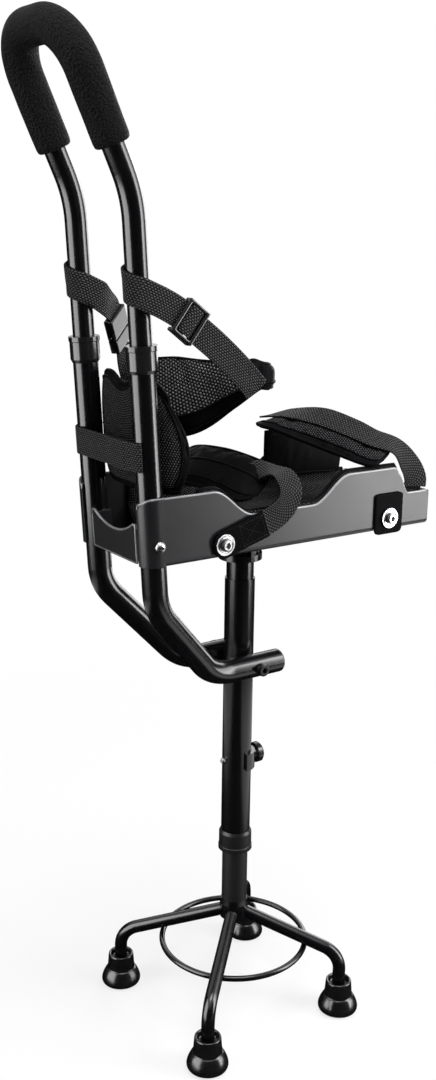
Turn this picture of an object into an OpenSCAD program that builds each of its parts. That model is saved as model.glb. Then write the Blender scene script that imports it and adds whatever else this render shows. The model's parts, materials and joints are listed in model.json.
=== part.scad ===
// Hands free crutch: a knee tray on a telescoping post with a four legged base, a U shaped handle in
// front, and straps for the thigh and the calf. The wearer faces -X, +Z is up, and the floor is z = 0.
// Lengths are millimetres.

$fn = 64;

/* [Base] */
// Distance of the front feet ahead of the post
front_foot_x = 86; // [60:1:120]
// Distance of the rear feet behind the post
rear_foot_x = 74; // [60:1:120]
// Distance of the feet to each side of the post
foot_y = 81; // [60:1:110]
// Diameter of a rubber foot at the floor
foot_d = 40; // [34:0.5:46]
// Height of a rubber foot
foot_h = 33; // [26:0.5:38]
// Rubber under the end of a leg
foot_sole = 7; // [4:0.5:12]
// Outside diameter of a leg tube
leg_d = 12.7; // [10:0.1:16]
// Wall of a leg tube
leg_wall = 1.5; // [1:0.1:2.5]
// Slope of a leg below the level
leg_slope = 19; // [12:0.5:24]
// Bend radius of a leg, at the middle of the tube
leg_bend_r = 24; // [18:1:30]
// Height at which the legs meet at the post
hub_z = 100; // [92:0.5:115]
// Height of the hub
hub_h = 22; // [18:0.5:36]
// Wall of the hub around the post
hub_wall = 1.6; // [1:0.2:5]
// Radius of the rod ring under the legs
ring_r = 73; // [55:1:82]
// Diameter of the ring's rod
ring_rod_d = 5.6; // [4:0.2:8]

/* [Post] */
// Outside diameter of the upper post
post_d = 28.6; // [26:0.1:34]
// Wall of the post tubes
post_wall = 1.2; // [1:0.1:2]
// Height of the upper post's lower end
post_foot_z = 171; // [150:1:190]
// Length of the upper post
post_len = 278; // [240:1:330]
// Clear part of the spigot between the post and its head
spigot_gap = 19; // [10:0.5:26]
// Length of spigot inside the post
spigot_grip = 14; // [8:1:24]
// Height of the post head
head_h = 23; // [18:0.5:34]
// Diameter of the post head's lower rim
head_rim_d = 41; // [38:0.5:46]
// Width of the post head's bolted plate
head_plate_w = 54; // [54:0.5:70]
// Height of the lock pin
pin_z = 264; // [240:1:290]
// Diameter of the lock pin
pin_d = 6; // [5:0.25:8]
// Spacing of the height holes
hole_pitch = 12.5; // [10:0.5:25]
// Diameter of the lock pin's knob
knob_d = 20; // [16:0.5:26]
// Height of the lock pin's clip
clip_h = 17; // [10:0.5:22]
// Height of the collar at the foot of the upper post
post_collar_h = 21; // [16:0.5:30]
// Wall of the collars
collar_wall = 1.7; // [1.2:0.1:3]

/* [Frame tubes] */
// Distance between the two tubes, middle to middle
tube_gap = 96; // [84:1:120]
// Outside diameter of the frame tubes
frame_tube_d = 22.2; // [20:0.1:26]
// Wall of the frame tubes
frame_wall = 1.2; // [1:0.1:1.6]
// Tube middle ahead of the post at the tray's floor
tube_ahead = 125.5; // [110:0.5:140]
// Forward lean of the tubes
tube_lean = 3.6; // [0:0.1:6]
// Depth of the lower bend under the tray
bend_drop = 41; // [34:0.5:60]
// Depth of the cross bolt under the tray
cross_drop = 123; // [105:0.5:140]
// Corner of the lower bend ahead of the post
cross_ahead = 48; // [40:0.5:60]
// Length of the tubes behind the post
tail_len = 27; // [20:0.5:40]
// Bend radius of the frame tubes, at the middle of the tube
frame_bend_r = 45; // [38:1:52]
// Height of the tubes above the tray's floor, to the middle of the collars
collar_rise = 174; // [150:0.5:220]
// Height of the tube collars
tube_collar_h = 22.5; // [16:0.5:30]
// Diameter of the cross bolt
cross_bolt_d = 6; // [5:0.25:8]

/* [Handle] */
// Corner of the handle's bend above the tray's floor
handle_bend_rise = 301; // [280:0.5:340]
// Extra forward lean of the handle above its bend
handle_lean = 21; // [10:0.5:30]
// Bend radius of the handle, at the middle of the tube
handle_bend_r = 110; // [70:1:150]
// Straight length from the bend's corner to the arch
handle_straight = 97.5; // [80:0.5:130]
// Gap between the tray screws and the handle's lower ends
handle_clear = 10; // [8:0.5:40]
// Radius of the two bends at the top of the handle, at the middle of the tube
arch_bend_r = 38; // [32:0.5:41]
// Diameter of the foam grip
foam_d = 30; // [26:0.5:36]
// Straight foam on each leg, below the arch
foam_leg = 56; // [30:0.5:60]

/* [Tray] */
// Thickness of the sheet
sheet_t = 2; // [1.5:0.1:3]
// Outside radius of the tray's bends
tray_bend_r = 5; // [3:0.25:8]
// Rear end of the tray behind the post
tray_rear = 180; // [160:0.5:200]
// Height of the front and rear humps of the side walls
hump_h = 59; // [50:0.5:70]
// Height of the side walls at the dip
dip_h = 34.5; // [30:0.5:40]
// Height of the side walls at the rear end
tail_h = 33; // [28:0.5:40]
// Front hump's end, ahead of the post
front_hump_end = 74; // [66:0.5:84]
// Length of the slopes between the humps and the dip
slope_len = 44; // [34:0.5:52]
// Rear hump's start, behind the post
rear_hump_start = 80; // [76:0.5:92]
// Rear hump's end, behind the post
rear_hump_end = 139; // [130:0.5:146]
// Strap bolt ahead of the post
front_bolt_x = 63; // [55:0.5:75]
// Strap bolt behind the post
rear_bolt_x = 127.5; // [115:0.5:138]
// Height of the strap bolts above the tray's floor
strap_bolt_h = 12.5; // [11:0.25:18]
// Diameter of the strap bolts
strap_bolt_d = 6; // [5:0.25:8]
// Diameter of the strap washers
washer_d = 19; // [16:0.5:22]
// Height of the tray screws above the tray's floor
screw_h = 18; // [12:0.5:26]
// Height of the front plate at its ends
plate_h = 34; // [28:0.5:42]
// Depth of the scoop in the front plate's top
plate_scoop = 10; // [4:0.5:14]

/* [Soft goods] */
// Width of the webbing
web_w = 25; // [20:0.5:30]
// Thickness of the webbing
web_t = 1.8; // [1.4:0.1:2.2]
// Thickness of the shin cushion over the floor
cushion_t = 14; // [10:0.5:18]
// Thickness of the knee pad
knee_pad_t = 12; // [8:0.5:13]
// Height of the knee pad's top above the tray's floor
knee_pad_top = 156; // [140:0.5:168]
// Height of the knee pad's lower edge above the tray's floor
knee_pad_foot = 60; // [58:0.5:75]
// Height of the strap across the frame tubes, above the tray's floor
lower_strap_h = 95; // [85:0.5:110]
// Height of the upper straps on the handle, above the middle of the collars
upper_strap_h = 59; // [42:0.5:66]
// Height of the thigh band's upper edge above the tray's floor
thigh_top = 162; // [150:0.5:168]
// Height of the thigh band at its wide end
thigh_h = 70; // [50:0.5:74]
// Thickness of the thigh band
thigh_t = 12; // [8:0.5:15]
// Height of the front calf strap above the tray's floor
wing_rise = 72; // [66:0.5:80]
// Height of the rear calf strap above the tray's floor
rear_pad_rise = 94; // [90:0.5:104]
// Thickness of the calf strap pads
calf_pad_t = 9; // [6:0.5:11]

/* [Hidden] */
// Clearance of a fixed fit, and of a soft piece beside its neighbour
fit = 0.1;
soft_gap = 0.35;
// Clearance between telescoping tubes
post_clear = 0.4;
tube_clear = 0.375;

front_near = [-front_foot_x, -foot_y];
front_far = [-front_foot_x, foot_y];
rear_near = [rear_foot_x, -foot_y];
rear_far = [rear_foot_x, foot_y];

post_r = post_d/2;
lower_post_r = post_r - post_wall - post_clear;
spigot_r = post_r - post_wall - fit;
post_top_z = post_foot_z + post_len;
spigot_foot_z = post_top_z - spigot_grip;
head_foot_z = post_top_z + spigot_gap;
tray_z = head_foot_z + head_h;
cross_z = tray_z - cross_drop;
hub_r = lower_post_r + fit + hub_wall;
hub_foot_z = hub_z - hub_h/2;
hub_sole = 3;

// The height holes fill the lower post between the lock pin and the cross bolt
post_end = 14;
hole_count = 1 + floor((cross_z - cross_bolt_d/2 - 4 - post_end - pin_z)/hole_pitch);
lower_post_top = pin_z + (hole_count - 1)*hole_pitch + post_end;
pin_hole_r = pin_d/2 + 0.3;

half_gap = tube_gap/2;
tube_r = frame_tube_d/2;
upper_r = tube_r - frame_wall - tube_clear;
collar_z = tray_z + collar_rise;
tube_top_z = collar_z;
cross_y = post_r + tube_r + fit;
wall_in = half_gap + tube_r + soft_gap;
wall_out = wall_in + sheet_t;
wrap_r = tube_r + soft_gap;
wrap_out = wrap_r + sheet_t;

handle_corner = tray_z + handle_bend_rise;
handle_total = tube_lean + handle_lean;
handle_up = [-sin(handle_total), 0, cos(handle_total)];
tube_up = [-sin(tube_lean), 0, cos(tube_lean)];
arch_top = arch_end(0) + handle_up*arch_bend_r;
front_end = arch_top.x - foam_d/2;
box_mid_x = (front_end + tray_rear)/2;

head_bolt_d = 5;
head_bolt_at = head_plate_w/2 - 8;
plate_t = 5;

// Vector and path helpers

function unit(v) = v/norm(v);
function mix(a, b, t) = a + (b - a)*t;
function ease(t) = (1 - cos(180*max(0, min(1, t))))/2;
function last(v) = v[len(v) - 1];

// The point on a tube's middle line at height z; side is -1 near, 1 far, 0 between
function tube_axis(side, z) = [-tube_ahead - tan(tube_lean)*(z - tray_z), side*half_gap, z];

function blend4(a, b, c, d, t) =
  0.5*(2*b + (c - a)*t + (2*a - 5*b + 4*c - d)*t*t + (3*b - a - 3*c + d)*t*t*t);

// A smooth path through the points, with k steps between each two
function smooth(p, k) = concat(
  [for (i = [0:len(p) - 2]) for (j = [0:k - 1])
    blend4(p[max(i - 1, 0)], p[i], p[i + 1], p[min(i + 2, len(p) - 1)], j/k)],
  [last(p)]);

function direction(p, i) = unit(p[min(i + 1, len(p) - 1)] - p[max(i - 1, 0)]);

// Places children with their X, Y and Z along the given unit vectors
module oriented(x, y, z, at) {
  multmatrix([
    [x.x, y.x, z.x, at.x],
    [x.y, y.y, z.y, at.y],
    [x.z, y.z, z.z, at.z]])
    children();
}

// Places children with their Z from point a towards point b
module along(a, b) {
  d = b - a;
  translate(a) rotate([0, acos(d.z/norm(d)), atan2(d.y, d.x)]) children();
}

// Places children on a frame tube at height z, with their Z along the tube
module on_tube(side, z) {
  translate(tube_axis(side, z)) rotate([0, -tube_lean, 0]) children();
}

// The whole model stands with the middle of its box over the origin
module placed() {
  translate([-box_mid_x, 0, 0]) children();
}

// Tubes

function corner_angle(p, i) = acos(min(1, unit(p[i] - p[i - 1])*unit(p[i + 1] - p[i])));
function corner_len(p, r, i) = (i == 0 || i == len(p) - 1) ? 0 : r[i]*tan(corner_angle(p, i)/2);

module ring_2d(outer, inner) {
  difference() {
    circle(outer);
    circle(inner);
  }
}

// Each straight is a hair thicker than the bends and reaches a little way into them, so that the pieces
// of a run join without any faces that only touch
lap = 0.5;
hair = 0.02;

module arc_piece(centre, out, d, bend_r, radius, angle) {
  oriented(out, d, cross(out, d), centre)
    rotate_extrude(angle = angle) translate([bend_r, 0]) circle(radius);
}

module straight_piece(a, b, radius) {
  along(a, b) cylinder(r = radius + hair, h = norm(b - a));
}

// A solid run through the corners p with bend radii r; its ends reach on by the two given lengths
module solid_run(p, r, radius, on_start, on_end) {
  n = len(p) - 1;
  for (i = [0:n - 1]) {
    d = unit(p[i + 1] - p[i]);
    a = p[i] + d*(corner_len(p, r, i) - (i == 0 ? on_start : lap));
    b = p[i + 1] - d*(corner_len(p, r, i + 1) - (i == n - 1 ? on_end : lap));
    straight_piece(a, b, radius);
  }
  for (i = [1:n - 1]) {
    d = unit(p[i] - p[i - 1]);
    e = unit(p[i + 1] - p[i]);
    inward = unit(e - d*(d*e));
    centre = p[i] - d*corner_len(p, r, i) + inward*r[i];
    arc_piece(centre, -inward, d, r[i], radius, corner_angle(p, i));
  }
}

module bent_tube(p, r, outer, inner) {
  difference() {
    solid_run(p, r, outer, 0, 0);
    solid_run(p, r, inner, 1, 1);
  }
}

// A tube's outside along Z with a rounded lower edge
module round_end_2d(outer, inner, r) {
  translate([inner, 0]) square([outer - r - inner, r + 0.5]);
  intersection() {
    translate([outer - r, r]) circle(r);
    translate([inner, 0]) square([outer - inner, r + 0.5]);
  }
}

module hex_head(across, h) {
  cylinder(d = across/cos(30), h = h, $fn = 6);
}

// Soft slabs: two grids of points, one on each face

function slab_faces(n, m) = let (b = n*m) concat(
  [for (i = [0:n - 2]) for (j = [0:m - 2]) let (a = i*m + j) each [[a, a + m + 1, a + m], [a, a + 1, a + m + 1]]],
  [for (i = [0:n - 2]) for (j = [0:m - 2]) let (a = b + i*m + j)
    each [[a, a + m, a + m + 1], [a, a + m + 1, a + 1]]],
  [for (i = [0:n - 2]) let (a = i*m) each [[a, a + m, b + a + m], [a, b + a + m, b + a]]],
  [for (i = [0:n - 2]) let (a = i*m + m - 1) each [[a + m, a, b + a], [a + m, b + a, b + a + m]]],
  [for (j = [0:m - 2]) each [[j + 1, j, b + j], [j + 1, b + j, b + j + 1]]],
  [for (j = [0:m - 2]) let (a = (n - 1)*m + j) each [[a, a + 1, b + a + 1], [a, b + a + 1, b + a]]]);

module slab(front, back) {
  points = concat([for (row = front) each row], [for (row = back) each row]);
  polyhedron(points, slab_faces(len(front), len(front[0])));
}

// A ribbon along stations of [x, y, z, nx, ny, nz]; n is the way its upper face looks
function spot(s) = [s[0], s[1], s[2]];
function look(s) = [s[3], s[4], s[5]];
function ribbon_row(s, i, w, lift) =
  let (p = [for (k = s) spot(k)], t = direction(p, i), n0 = look(s[i]), n = unit(n0 - t*(t*n0)), across = cross(n, t))
  [p[i] - across*w/2 + n*lift, p[i] + across*w/2 + n*lift];

module ribbon(s, w = web_w, t = web_t) {
  slab([for (i = [0:len(s) - 1]) ribbon_row(s, i, w, t/2)], [for (i = [0:len(s) - 1]) ribbon_row(s, i, w, -t/2)]);
}

// A padded band along stations of [x, y, z, nx, ny, nz]; its half width and thickness follow u from 0 to 1
edge_t = 2;
function crown(v) = sqrt(max(0, 1 - pow(abs(2*v - 1), 3)));
function round_tip(u, share) = sqrt(max(0.06, 1 - pow(max(0, (u - 1 + share)/share), 2)));

function band_row(s, i, half, t, m, side) =
  let (p = [for (k = s) spot(k)], d = direction(p, i), n0 = look(s[i]), n = unit(n0 - d*(d*n0)), across = cross(n, d))
  [for (j = [0:m]) let (v = j/m, grow = edge_t + (t - edge_t)*crown(v))
    p[i] + across*half*(2*v - 1) + n*side*grow/2];

module band(s, halves, thick, m = 8) {
  slab(
    [for (i = [0:len(s) - 1]) band_row(s, i, halves[i], thick[i], m, 1)],
    [for (i = [0:len(s) - 1]) band_row(s, i, halves[i], thick[i], m, -1)]);
}

// Base

leg_rise = tan(leg_slope);
ring_z = hub_z - leg_rise*ring_r - (leg_d + ring_rod_d)/2/cos(leg_slope) - fit;

function leg_corner(at) = [at.x, at.y, hub_z - leg_rise*norm(at)];

module leg(at) {
  foot_point = [at.x, at.y, foot_sole + fit];
  color("#17181a") placed() difference() {
    bent_tube([[0, 0, hub_z], leg_corner(at), foot_point], [0, leg_bend_r, 0], leg_d/2, leg_d/2 - leg_wall);
    translate([0, 0, hub_foot_z - 20]) cylinder(r = hub_r + fit, h = hub_h + 40);
  }
}

module foot(at) {
  bore = leg_d/2 + fit;
  neck = bore + 5;
  base = foot_d/2;
  color("#101112") placed() translate([at.x, at.y, 0]) difference() {
    rotate_extrude() {
      square([base - 1.5, 5]);
      translate([0, 1.5]) square([base, 0.2*foot_h]);
      translate([base - 1.5, 1.5]) circle(1.5);
      polygon([[0, 0.2*foot_h], [base, 0.2*foot_h + 1.4], [base - 0.8, 0.3*foot_h], [base - 2.6, 0.4*foot_h],
        [mix(base, neck, 0.72), 0.5*foot_h], [neck + 0.5, 0.58*foot_h], [neck + 0.5, 0.61*foot_h],
        [neck + 1.3, 0.63*foot_h], [neck + 1, foot_h - 1], [neck, foot_h], [0, foot_h]]);
    }
    translate([0, 0, foot_sole]) cylinder(r = bore, h = foot_h);
  }
}

module front_near_foot() foot(front_near);
module front_far_foot() foot(front_far);
module rear_near_foot() foot(rear_near);
module rear_far_foot() foot(rear_far);
module front_near_leg() leg(front_near);
module front_far_leg() leg(front_far);
module rear_near_leg() leg(rear_near);
module rear_far_leg() leg(rear_far);

module base_ring() {
  color("#17181a") placed() translate([0, 0, ring_z]) rotate_extrude() translate([ring_r, 0]) circle(d = ring_rod_d);
}

module leg_hub() {
  color("#17181a") placed() translate([0, 0, hub_foot_z]) difference() {
    rotate_extrude() polygon([[0, 0], [hub_r - 2, 0], [hub_r, 2], [hub_r, hub_h - 5], [hub_r - hub_wall + 0.6, hub_h], [0, hub_h]]);
    translate([0, 0, hub_sole]) cylinder(r = lower_post_r + fit, h = hub_h);
  }
}

module lower_post() {
  foot_z = hub_foot_z + hub_sole;
  color("#17181a") placed() difference() {
    translate([0, 0, foot_z]) cylinder(r = lower_post_r, h = lower_post_top - foot_z);
    translate([0, 0, foot_z - 1]) cylinder(r = lower_post_r - post_wall, h = lower_post_top - foot_z + 2);
    for (k = [0:hole_count - 1]) translate([0, 0, pin_z + k*hole_pitch])
      rotate([0, 90, 0]) cylinder(r = pin_hole_r, h = post_d, center = true);
  }
}

module lower_post_plug() {
  color("#202124") placed() translate([0, 0, lower_post_top]) {
    translate([0, 0, -6]) cylinder(r = lower_post_r - post_wall - fit, h = 6);
    cylinder(r = lower_post_r, h = 2.5);
  }
}

// Post

module upper_post() {
  color("#17181a") placed() difference() {
    translate([0, 0, post_foot_z]) cylinder(r = post_r, h = post_len);
    translate([0, 0, post_foot_z - 1]) cylinder(r = post_r - post_wall, h = post_len + 2);
    translate([0, 0, pin_z]) rotate([0, 90, 0]) cylinder(r = pin_hole_r, h = 2*post_d, center = true);
    translate([0, 0, cross_z]) rotate([90, 0, 0]) cylinder(d = cross_bolt_d + 4*fit, h = 2*post_d, center = true);
  }
}

// A collar round a tube's end: a rim on top, a grip, a lip that closes on the inner tube
module collar_2d(outer_tube, inner_tube, h) {
  inside = outer_tube + 2*fit;
  outside = inside + collar_wall;
  lip = 3;
  difference() {
    union() {
      polygon([
        [inner_tube + 2*fit, h], [outside + 0.6, h], [outside + 0.6, h - 4], [outside, h - 4.6],
        [outside, 3], [outside - 1.4, 0], [inner_tube + 2*fit, 0]]);
    }
    translate([0, -1]) square([inside, h - lip + 1]);
  }
}

module post_collar() {
  color("#1b1c1e") placed() translate([0, 0, post_foot_z + post_collar_h - 4]) mirror([0, 0, 1])
    rotate_extrude() collar_2d(post_r, lower_post_r, post_collar_h);
}

module lock_pin() {
  tip = post_r + 4;
  color("silver") placed() translate([0, 0, pin_z]) rotate([0, 90, 0]) {
    translate([0, 0, 1.5 - tip]) cylinder(d = pin_d, h = 2*tip);
    translate([0, 0, -tip]) cylinder(d1 = pin_d - 2, d2 = pin_d, h = 1.5);
  }
}

clip_in = post_r + 3*fit;
clip_out = clip_in + 3.2;

module pin_clip() {
  color("#1b1c1e") placed() translate([0, 0, pin_z]) difference() {
    translate([0, 0, -clip_h/2]) rotate([0, 0, -90]) rotate_extrude(angle = 180)
      translate([clip_in, 0]) square([clip_out - clip_in, clip_h]);
    rotate([0, 90, 0]) cylinder(d = pin_d + 2*fit, h = post_d);
  }
}

module pin_knob() {
  start = clip_out + fit;
  color("#1b1c1e") placed() translate([start, 0, pin_z]) rotate([0, 90, 0]) difference() {
    rotate_extrude() polygon([
      [0, 0], [knob_d/2 - 3, 0], [knob_d/2 - 3, 1.5], [knob_d/2, 3], [knob_d/2, 8], [knob_d/2 - 1.5, 9.5], [0, 9.5]]);
    translate([0, 0, -1]) cylinder(d = pin_d + 2*fit, h = post_r + 5.5 - start + 1 + 2*fit);
  }
}

module post_spigot() {
  color("#17181a") placed() difference() {
    translate([0, 0, spigot_foot_z]) cylinder(r = spigot_r, h = tray_z - plate_t - spigot_foot_z);
    translate([0, 0, spigot_foot_z - 1]) cylinder(r = spigot_r - 2, h = tray_z - spigot_foot_z + 2);
  }
}

module at_head_bolts() {
  for (x = [-1, 1]) for (y = [-1, 1]) translate([x*head_bolt_at, y*head_bolt_at, 0]) children();
}

module post_head() {
  rim = 6;
  boss = spigot_r + 5;
  color("#141516") placed() difference() {
    union() {
      translate([-head_plate_w/2, -head_plate_w/2, tray_z - plate_t - fit])
        cube([head_plate_w, head_plate_w, plate_t]);
      translate([0, 0, head_foot_z]) cylinder(r = boss, h = head_h - plate_t/2);
      translate([0, 0, head_foot_z]) cylinder(d = head_rim_d, h = rim);
      for (a = [0, 90]) rotate([0, 0, a]) translate([-head_rim_d/2, -2, head_foot_z]) cube([head_rim_d, 4, head_h - plate_t/2]);
    }
    translate([0, 0, head_foot_z - 1]) cylinder(r = spigot_r + fit, h = head_h - plate_t + 1);
    translate([0, 0, tray_z - plate_t - 1]) at_head_bolts() cylinder(d = head_bolt_d + 4*fit, h = plate_t + 2);
  }
}

module head_bolts() {
  reach = sheet_t + plate_t + 6;
  color("#303236") placed() translate([0, 0, tray_z + sheet_t + fit]) at_head_bolts() {
    translate([0, 0, -reach]) cylinder(d = head_bolt_d, h = reach);
    cylinder(d = 2*head_bolt_d, h = 2);
  }
}

module head_nuts() {
  color("#303236") placed() translate([0, 0, tray_z - plate_t - 4.2 - 2*fit]) at_head_bolts() difference() {
    hex_head(8, 4.2);
    translate([0, 0, -1]) cylinder(d = head_bolt_d + 2*fit, h = 7);
  }
}

// Frame tubes

function frame_run(side) = [
  tube_axis(side, tube_top_z), tube_axis(side, tray_z - bend_drop),
  [-cross_ahead, side*cross_y, cross_z], [tail_len, side*cross_y, cross_z]];

module frame_tube(side) {
  color("#17181a") placed() difference() {
    bent_tube(frame_run(side), [0, frame_bend_r, frame_bend_r, 0], tube_r, tube_r - frame_wall);
    translate([0, 0, cross_z]) rotate([90, 0, 0]) cylinder(d = cross_bolt_d + 4*fit, h = 4*cross_y, center = true);
    translate(tube_axis(side, tray_z + screw_h)) rotate([side*-90, 0, 0]) cylinder(d = 4 + 4*fit, h = 2*tube_r);
  }
}

module near_frame_tube() frame_tube(-1);
module far_frame_tube() frame_tube(1);

module tube_end_plugs() {
  color("#1b1c1e") placed() for (side = [-1, 1]) translate([tail_len, side*cross_y, cross_z]) rotate([0, 90, 0]) {
    rotate_extrude() {
      translate([0, -10]) square([tube_r - frame_wall - fit, 10]);
      square([tube_r - 2.5, 2.5]);
      intersection() {
        translate([tube_r - 2.5, 0]) circle(2.5);
        square([tube_r, 2.5]);
      }
    }
  }
}

module cross_bolt() {
  reach = cross_y + tube_r + fit;
  color("#1b1c1e") placed() translate([0, -reach, cross_z]) rotate([-90, 0, 0]) {
    cylinder(d = cross_bolt_d, h = 2*reach + 7);
    translate([0, 0, -5]) difference() {
      union() {
        cylinder(d = 12, h = 5);
        translate([0, 0, -1]) cylinder(d1 = 9.6, d2 = 12, h = 1);
      }
      translate([0, 0, -2]) hex_head(5, 4);
    }
  }
}

module cross_nut() {
  color("#1b1c1e") placed() translate([0, cross_y + tube_r + 2*fit, cross_z]) rotate([-90, 0, 0]) difference() {
    union() {
      cylinder(d = 12.5, h = 1.2);
      hex_head(10, 6);
    }
    translate([0, 0, -1]) cylinder(d = cross_bolt_d + 2*fit, h = 9);
  }
}

// Tray

// Outline of a side wall, from the front along the top to the rear
function slope_2d(x0, z0, x1, z1) = [for (k = [1:9]) [mix(x0, x1, k/10), mix(z0, z1, ease(k/10))]];
wall_front = tube_ahead + wrap_out + 6;
front_round = 9;
function wall_outline() = concat(
  [[-wall_front, 0], [-wall_front, hump_h - front_round]],
  [for (a = [0:15:90]) [front_round*(1 - cos(a)) - tube_axis_shift() - wrap_out,
    hump_h - front_round*(1 - sin(a))]],
  [[-front_hump_end, hump_h]],
  slope_2d(-front_hump_end, hump_h, slope_len - front_hump_end, dip_h),
  [[slope_len - front_hump_end, dip_h], [rear_hump_start - slope_len, dip_h]],
  slope_2d(rear_hump_start - slope_len, dip_h, rear_hump_start, hump_h),
  [[rear_hump_start, hump_h], [rear_hump_end - 6, hump_h]],
  [for (a = [15:15:75]) [rear_hump_end - 6 + 6*sin(a), hump_h - 6*(1 - cos(a))]],
  [[rear_hump_end, hump_h - 6]],
  slope_2d(rear_hump_end, hump_h - 6, rear_hump_end + 14, tail_h),
  [[rear_hump_end + 14, tail_h], [tray_rear, tail_h], [tray_rear, 0]]);
// How far ahead the leaning tube is at the top of the wall
function tube_axis_shift() = tube_ahead + tan(tube_lean)*(hump_h - front_round);

module tray_u_2d(half, r) {
  translate([-half, r]) square([2*half, 2*hump_h]);
  translate([r - half, 0]) square([2*(half - r), r + 0.01]);
  for (s = [-1, 1]) translate([s*(half - r), r]) circle(r);
}

// Floor and walls, from the plane of the leaning tubes to the rear end plate
module tray_shell() {
  front = -tube_ahead - 10;
  difference() {
    translate([front, 0, tray_z]) rotate([90, 0, 90]) linear_extrude(tray_rear - front) tray_u_2d(wall_out, tray_bend_r);
    translate([front - 1, 0, tray_z + sheet_t]) rotate([90, 0, 90]) linear_extrude(tray_rear - front + 1 - sheet_t)
      tray_u_2d(wall_in, tray_bend_r - sheet_t);
    on_tube(0, tray_z) translate([-100, -2*wall_out, -hump_h]) cube([100, 4*wall_out, 4*hump_h]);
    for (side = [-1, 1]) on_tube(side, tray_z - 10) cylinder(r = tube_r + fit, h = 30);
  }
}

// The sheet turns round the outside and the front of each tube; its tail laps onto the wall
module tube_wrap(side) {
  on_tube(side, tray_z - 10) linear_extrude(hump_h + 30) {
    intersection() {
      ring_2d(wrap_out + hair, wrap_r - hair);
      translate([-20, side < 0 ? -20 : -1.5]) square([20, 21.5]);
    }
    translate([-0.1, side < 0 ? -wrap_out - hair : wrap_r - hair]) square([4, sheet_t + 2*hair]);
  }
}

// On the walls at the strap bolts; the near ones have webbing of the given thickness under them
module at_strap_bolts(webbing = 0) {
  for (x = [-front_bolt_x, rear_bolt_x]) for (side = [-1, 1])
    translate([x, side*wall_out - (side < 0 ? webbing : 0), tray_z + strap_bolt_h]) rotate([side*-90, 0, 0]) children();
}

module at_tray_screws() {
  for (side = [-1, 1]) translate(tube_axis(side, tray_z + screw_h) + [0, side*(tube_r + soft_gap + sheet_t), 0])
    rotate([side*-90, 0, 0]) children();
}

module shin_tray() {
  color("#3a3c40") placed() difference() {
    intersection() {
      union() {
        tray_shell();
        for (side = [-1, 1]) tube_wrap(side);
      }
      translate([0, 0, tray_z]) rotate([90, 0, 0]) linear_extrude(4*wall_out, center = true) polygon(wall_outline());
    }
    at_strap_bolts() cylinder(d = strap_bolt_d + 4*fit, h = 4*sheet_t, center = true);
    at_tray_screws() cylinder(d = 4 + 4*fit, h = 4*sheet_t, center = true);
    translate([rear_bolt_x - slot_w/2, -wall_out - 1, slot_z - slot_h/2]) cube([slot_w, sheet_t + 2, slot_h]);
    translate([0, 0, tray_z - 1]) at_head_bolts() cylinder(d = head_bolt_d + 4*fit, h = sheet_t + 2);
  }
}

// A channel between the tubes, with a scooped top and its ends turned back along them
module front_plate() {
  half = half_gap - tube_r - fit;
  chord = half - 4;
  scoop_r = (chord*chord + plate_scoop*plate_scoop)/2/plate_scoop;
  color("#3a3c40") placed() on_tube(0, tray_z) {
    translate([1 - tube_r, 0, 0]) rotate([90, 0, 90]) linear_extrude(sheet_t) difference() {
      translate([-half, 0]) square([2*half, plate_h]);
      translate([0, plate_h - plate_scoop + scoop_r]) circle(scoop_r, $fn = 128);
    }
    for (s = [-1, 1]) translate([2 - tube_r, s*(half - sheet_t/2 - fit) - sheet_t/2, 2]) cube([tube_r + 6, sheet_t, plate_h - 5]);
  }
}

module tray_screws() {
  color("silver") placed() at_tray_screws() {
    translate([0, 0, -8]) cylinder(d = 4, h = 8 + fit);
    translate([0, 0, fit]) difference() {
      rotate_extrude() intersection() {
        translate([0, -2.6]) circle(5.6);
        square([5, 4]);
      }
      translate([0, 0, 1]) hex_head(3, 4);
    }
  }
}

// Each strap end is held on the wall by a bolt through a broad washer
tab_t = web_t + 2*soft_gap;

// The near wall's slot for the rear tab
rear_tab_w = 1.4*web_w;
slot_w = web_w;
slot_h = web_t + 2*soft_gap;
slot_z = tray_z + strap_bolt_h + 0.9*web_w;

module strap_bolts() {
  color("silver") placed() at_strap_bolts(tab_t) translate([0, 0, 1.6 + 2*fit]) {
    translate([0, 0, -tab_t - 9.2]) cylinder(d = strap_bolt_d, h = tab_t + 9.2);
    difference() {
      union() {
        cylinder(d = 10, h = 3);
        translate([0, 0, 3]) cylinder(d1 = 10, d2 = 8, h = 0.8);
      }
      translate([0, 0, 1.2]) hex_head(5, 5);
    }
  }
}

module strap_washers() {
  color("silver") placed() at_strap_bolts(tab_t) translate([0, 0, fit]) difference() {
    cylinder(d = washer_d, h = 1.6);
    translate([0, 0, -1]) cylinder(d = strap_bolt_d + 2*fit, h = 4);
  }
}

module strap_nuts() {
  color("silver") placed() at_strap_bolts() translate([0, 0, -sheet_t - 4.5 - fit]) difference() {
    hex_head(10, 4.5);
    translate([0, 0, -1]) cylinder(d = strap_bolt_d + 2*fit, h = 7);
  }
}

// Shin cushion: a padded trough that lines the tray, with sewn channels along it

cushion_front = 88;
cushion_rear = tray_rear - sheet_t - 8;
cushion_side = wall_in - soft_gap;
side_t = 7;

function wall_top(x) =
  x < slope_len - front_hump_end ? mix(hump_h, dip_h, ease((x + front_hump_end)/slope_len)) :
  x < rear_hump_end ? mix(dip_h, hump_h, ease((x - rear_hump_start + slope_len)/slope_len)) :
  mix(hump_h, tail_h, ease((x - rear_hump_end + 4)/18));

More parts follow.
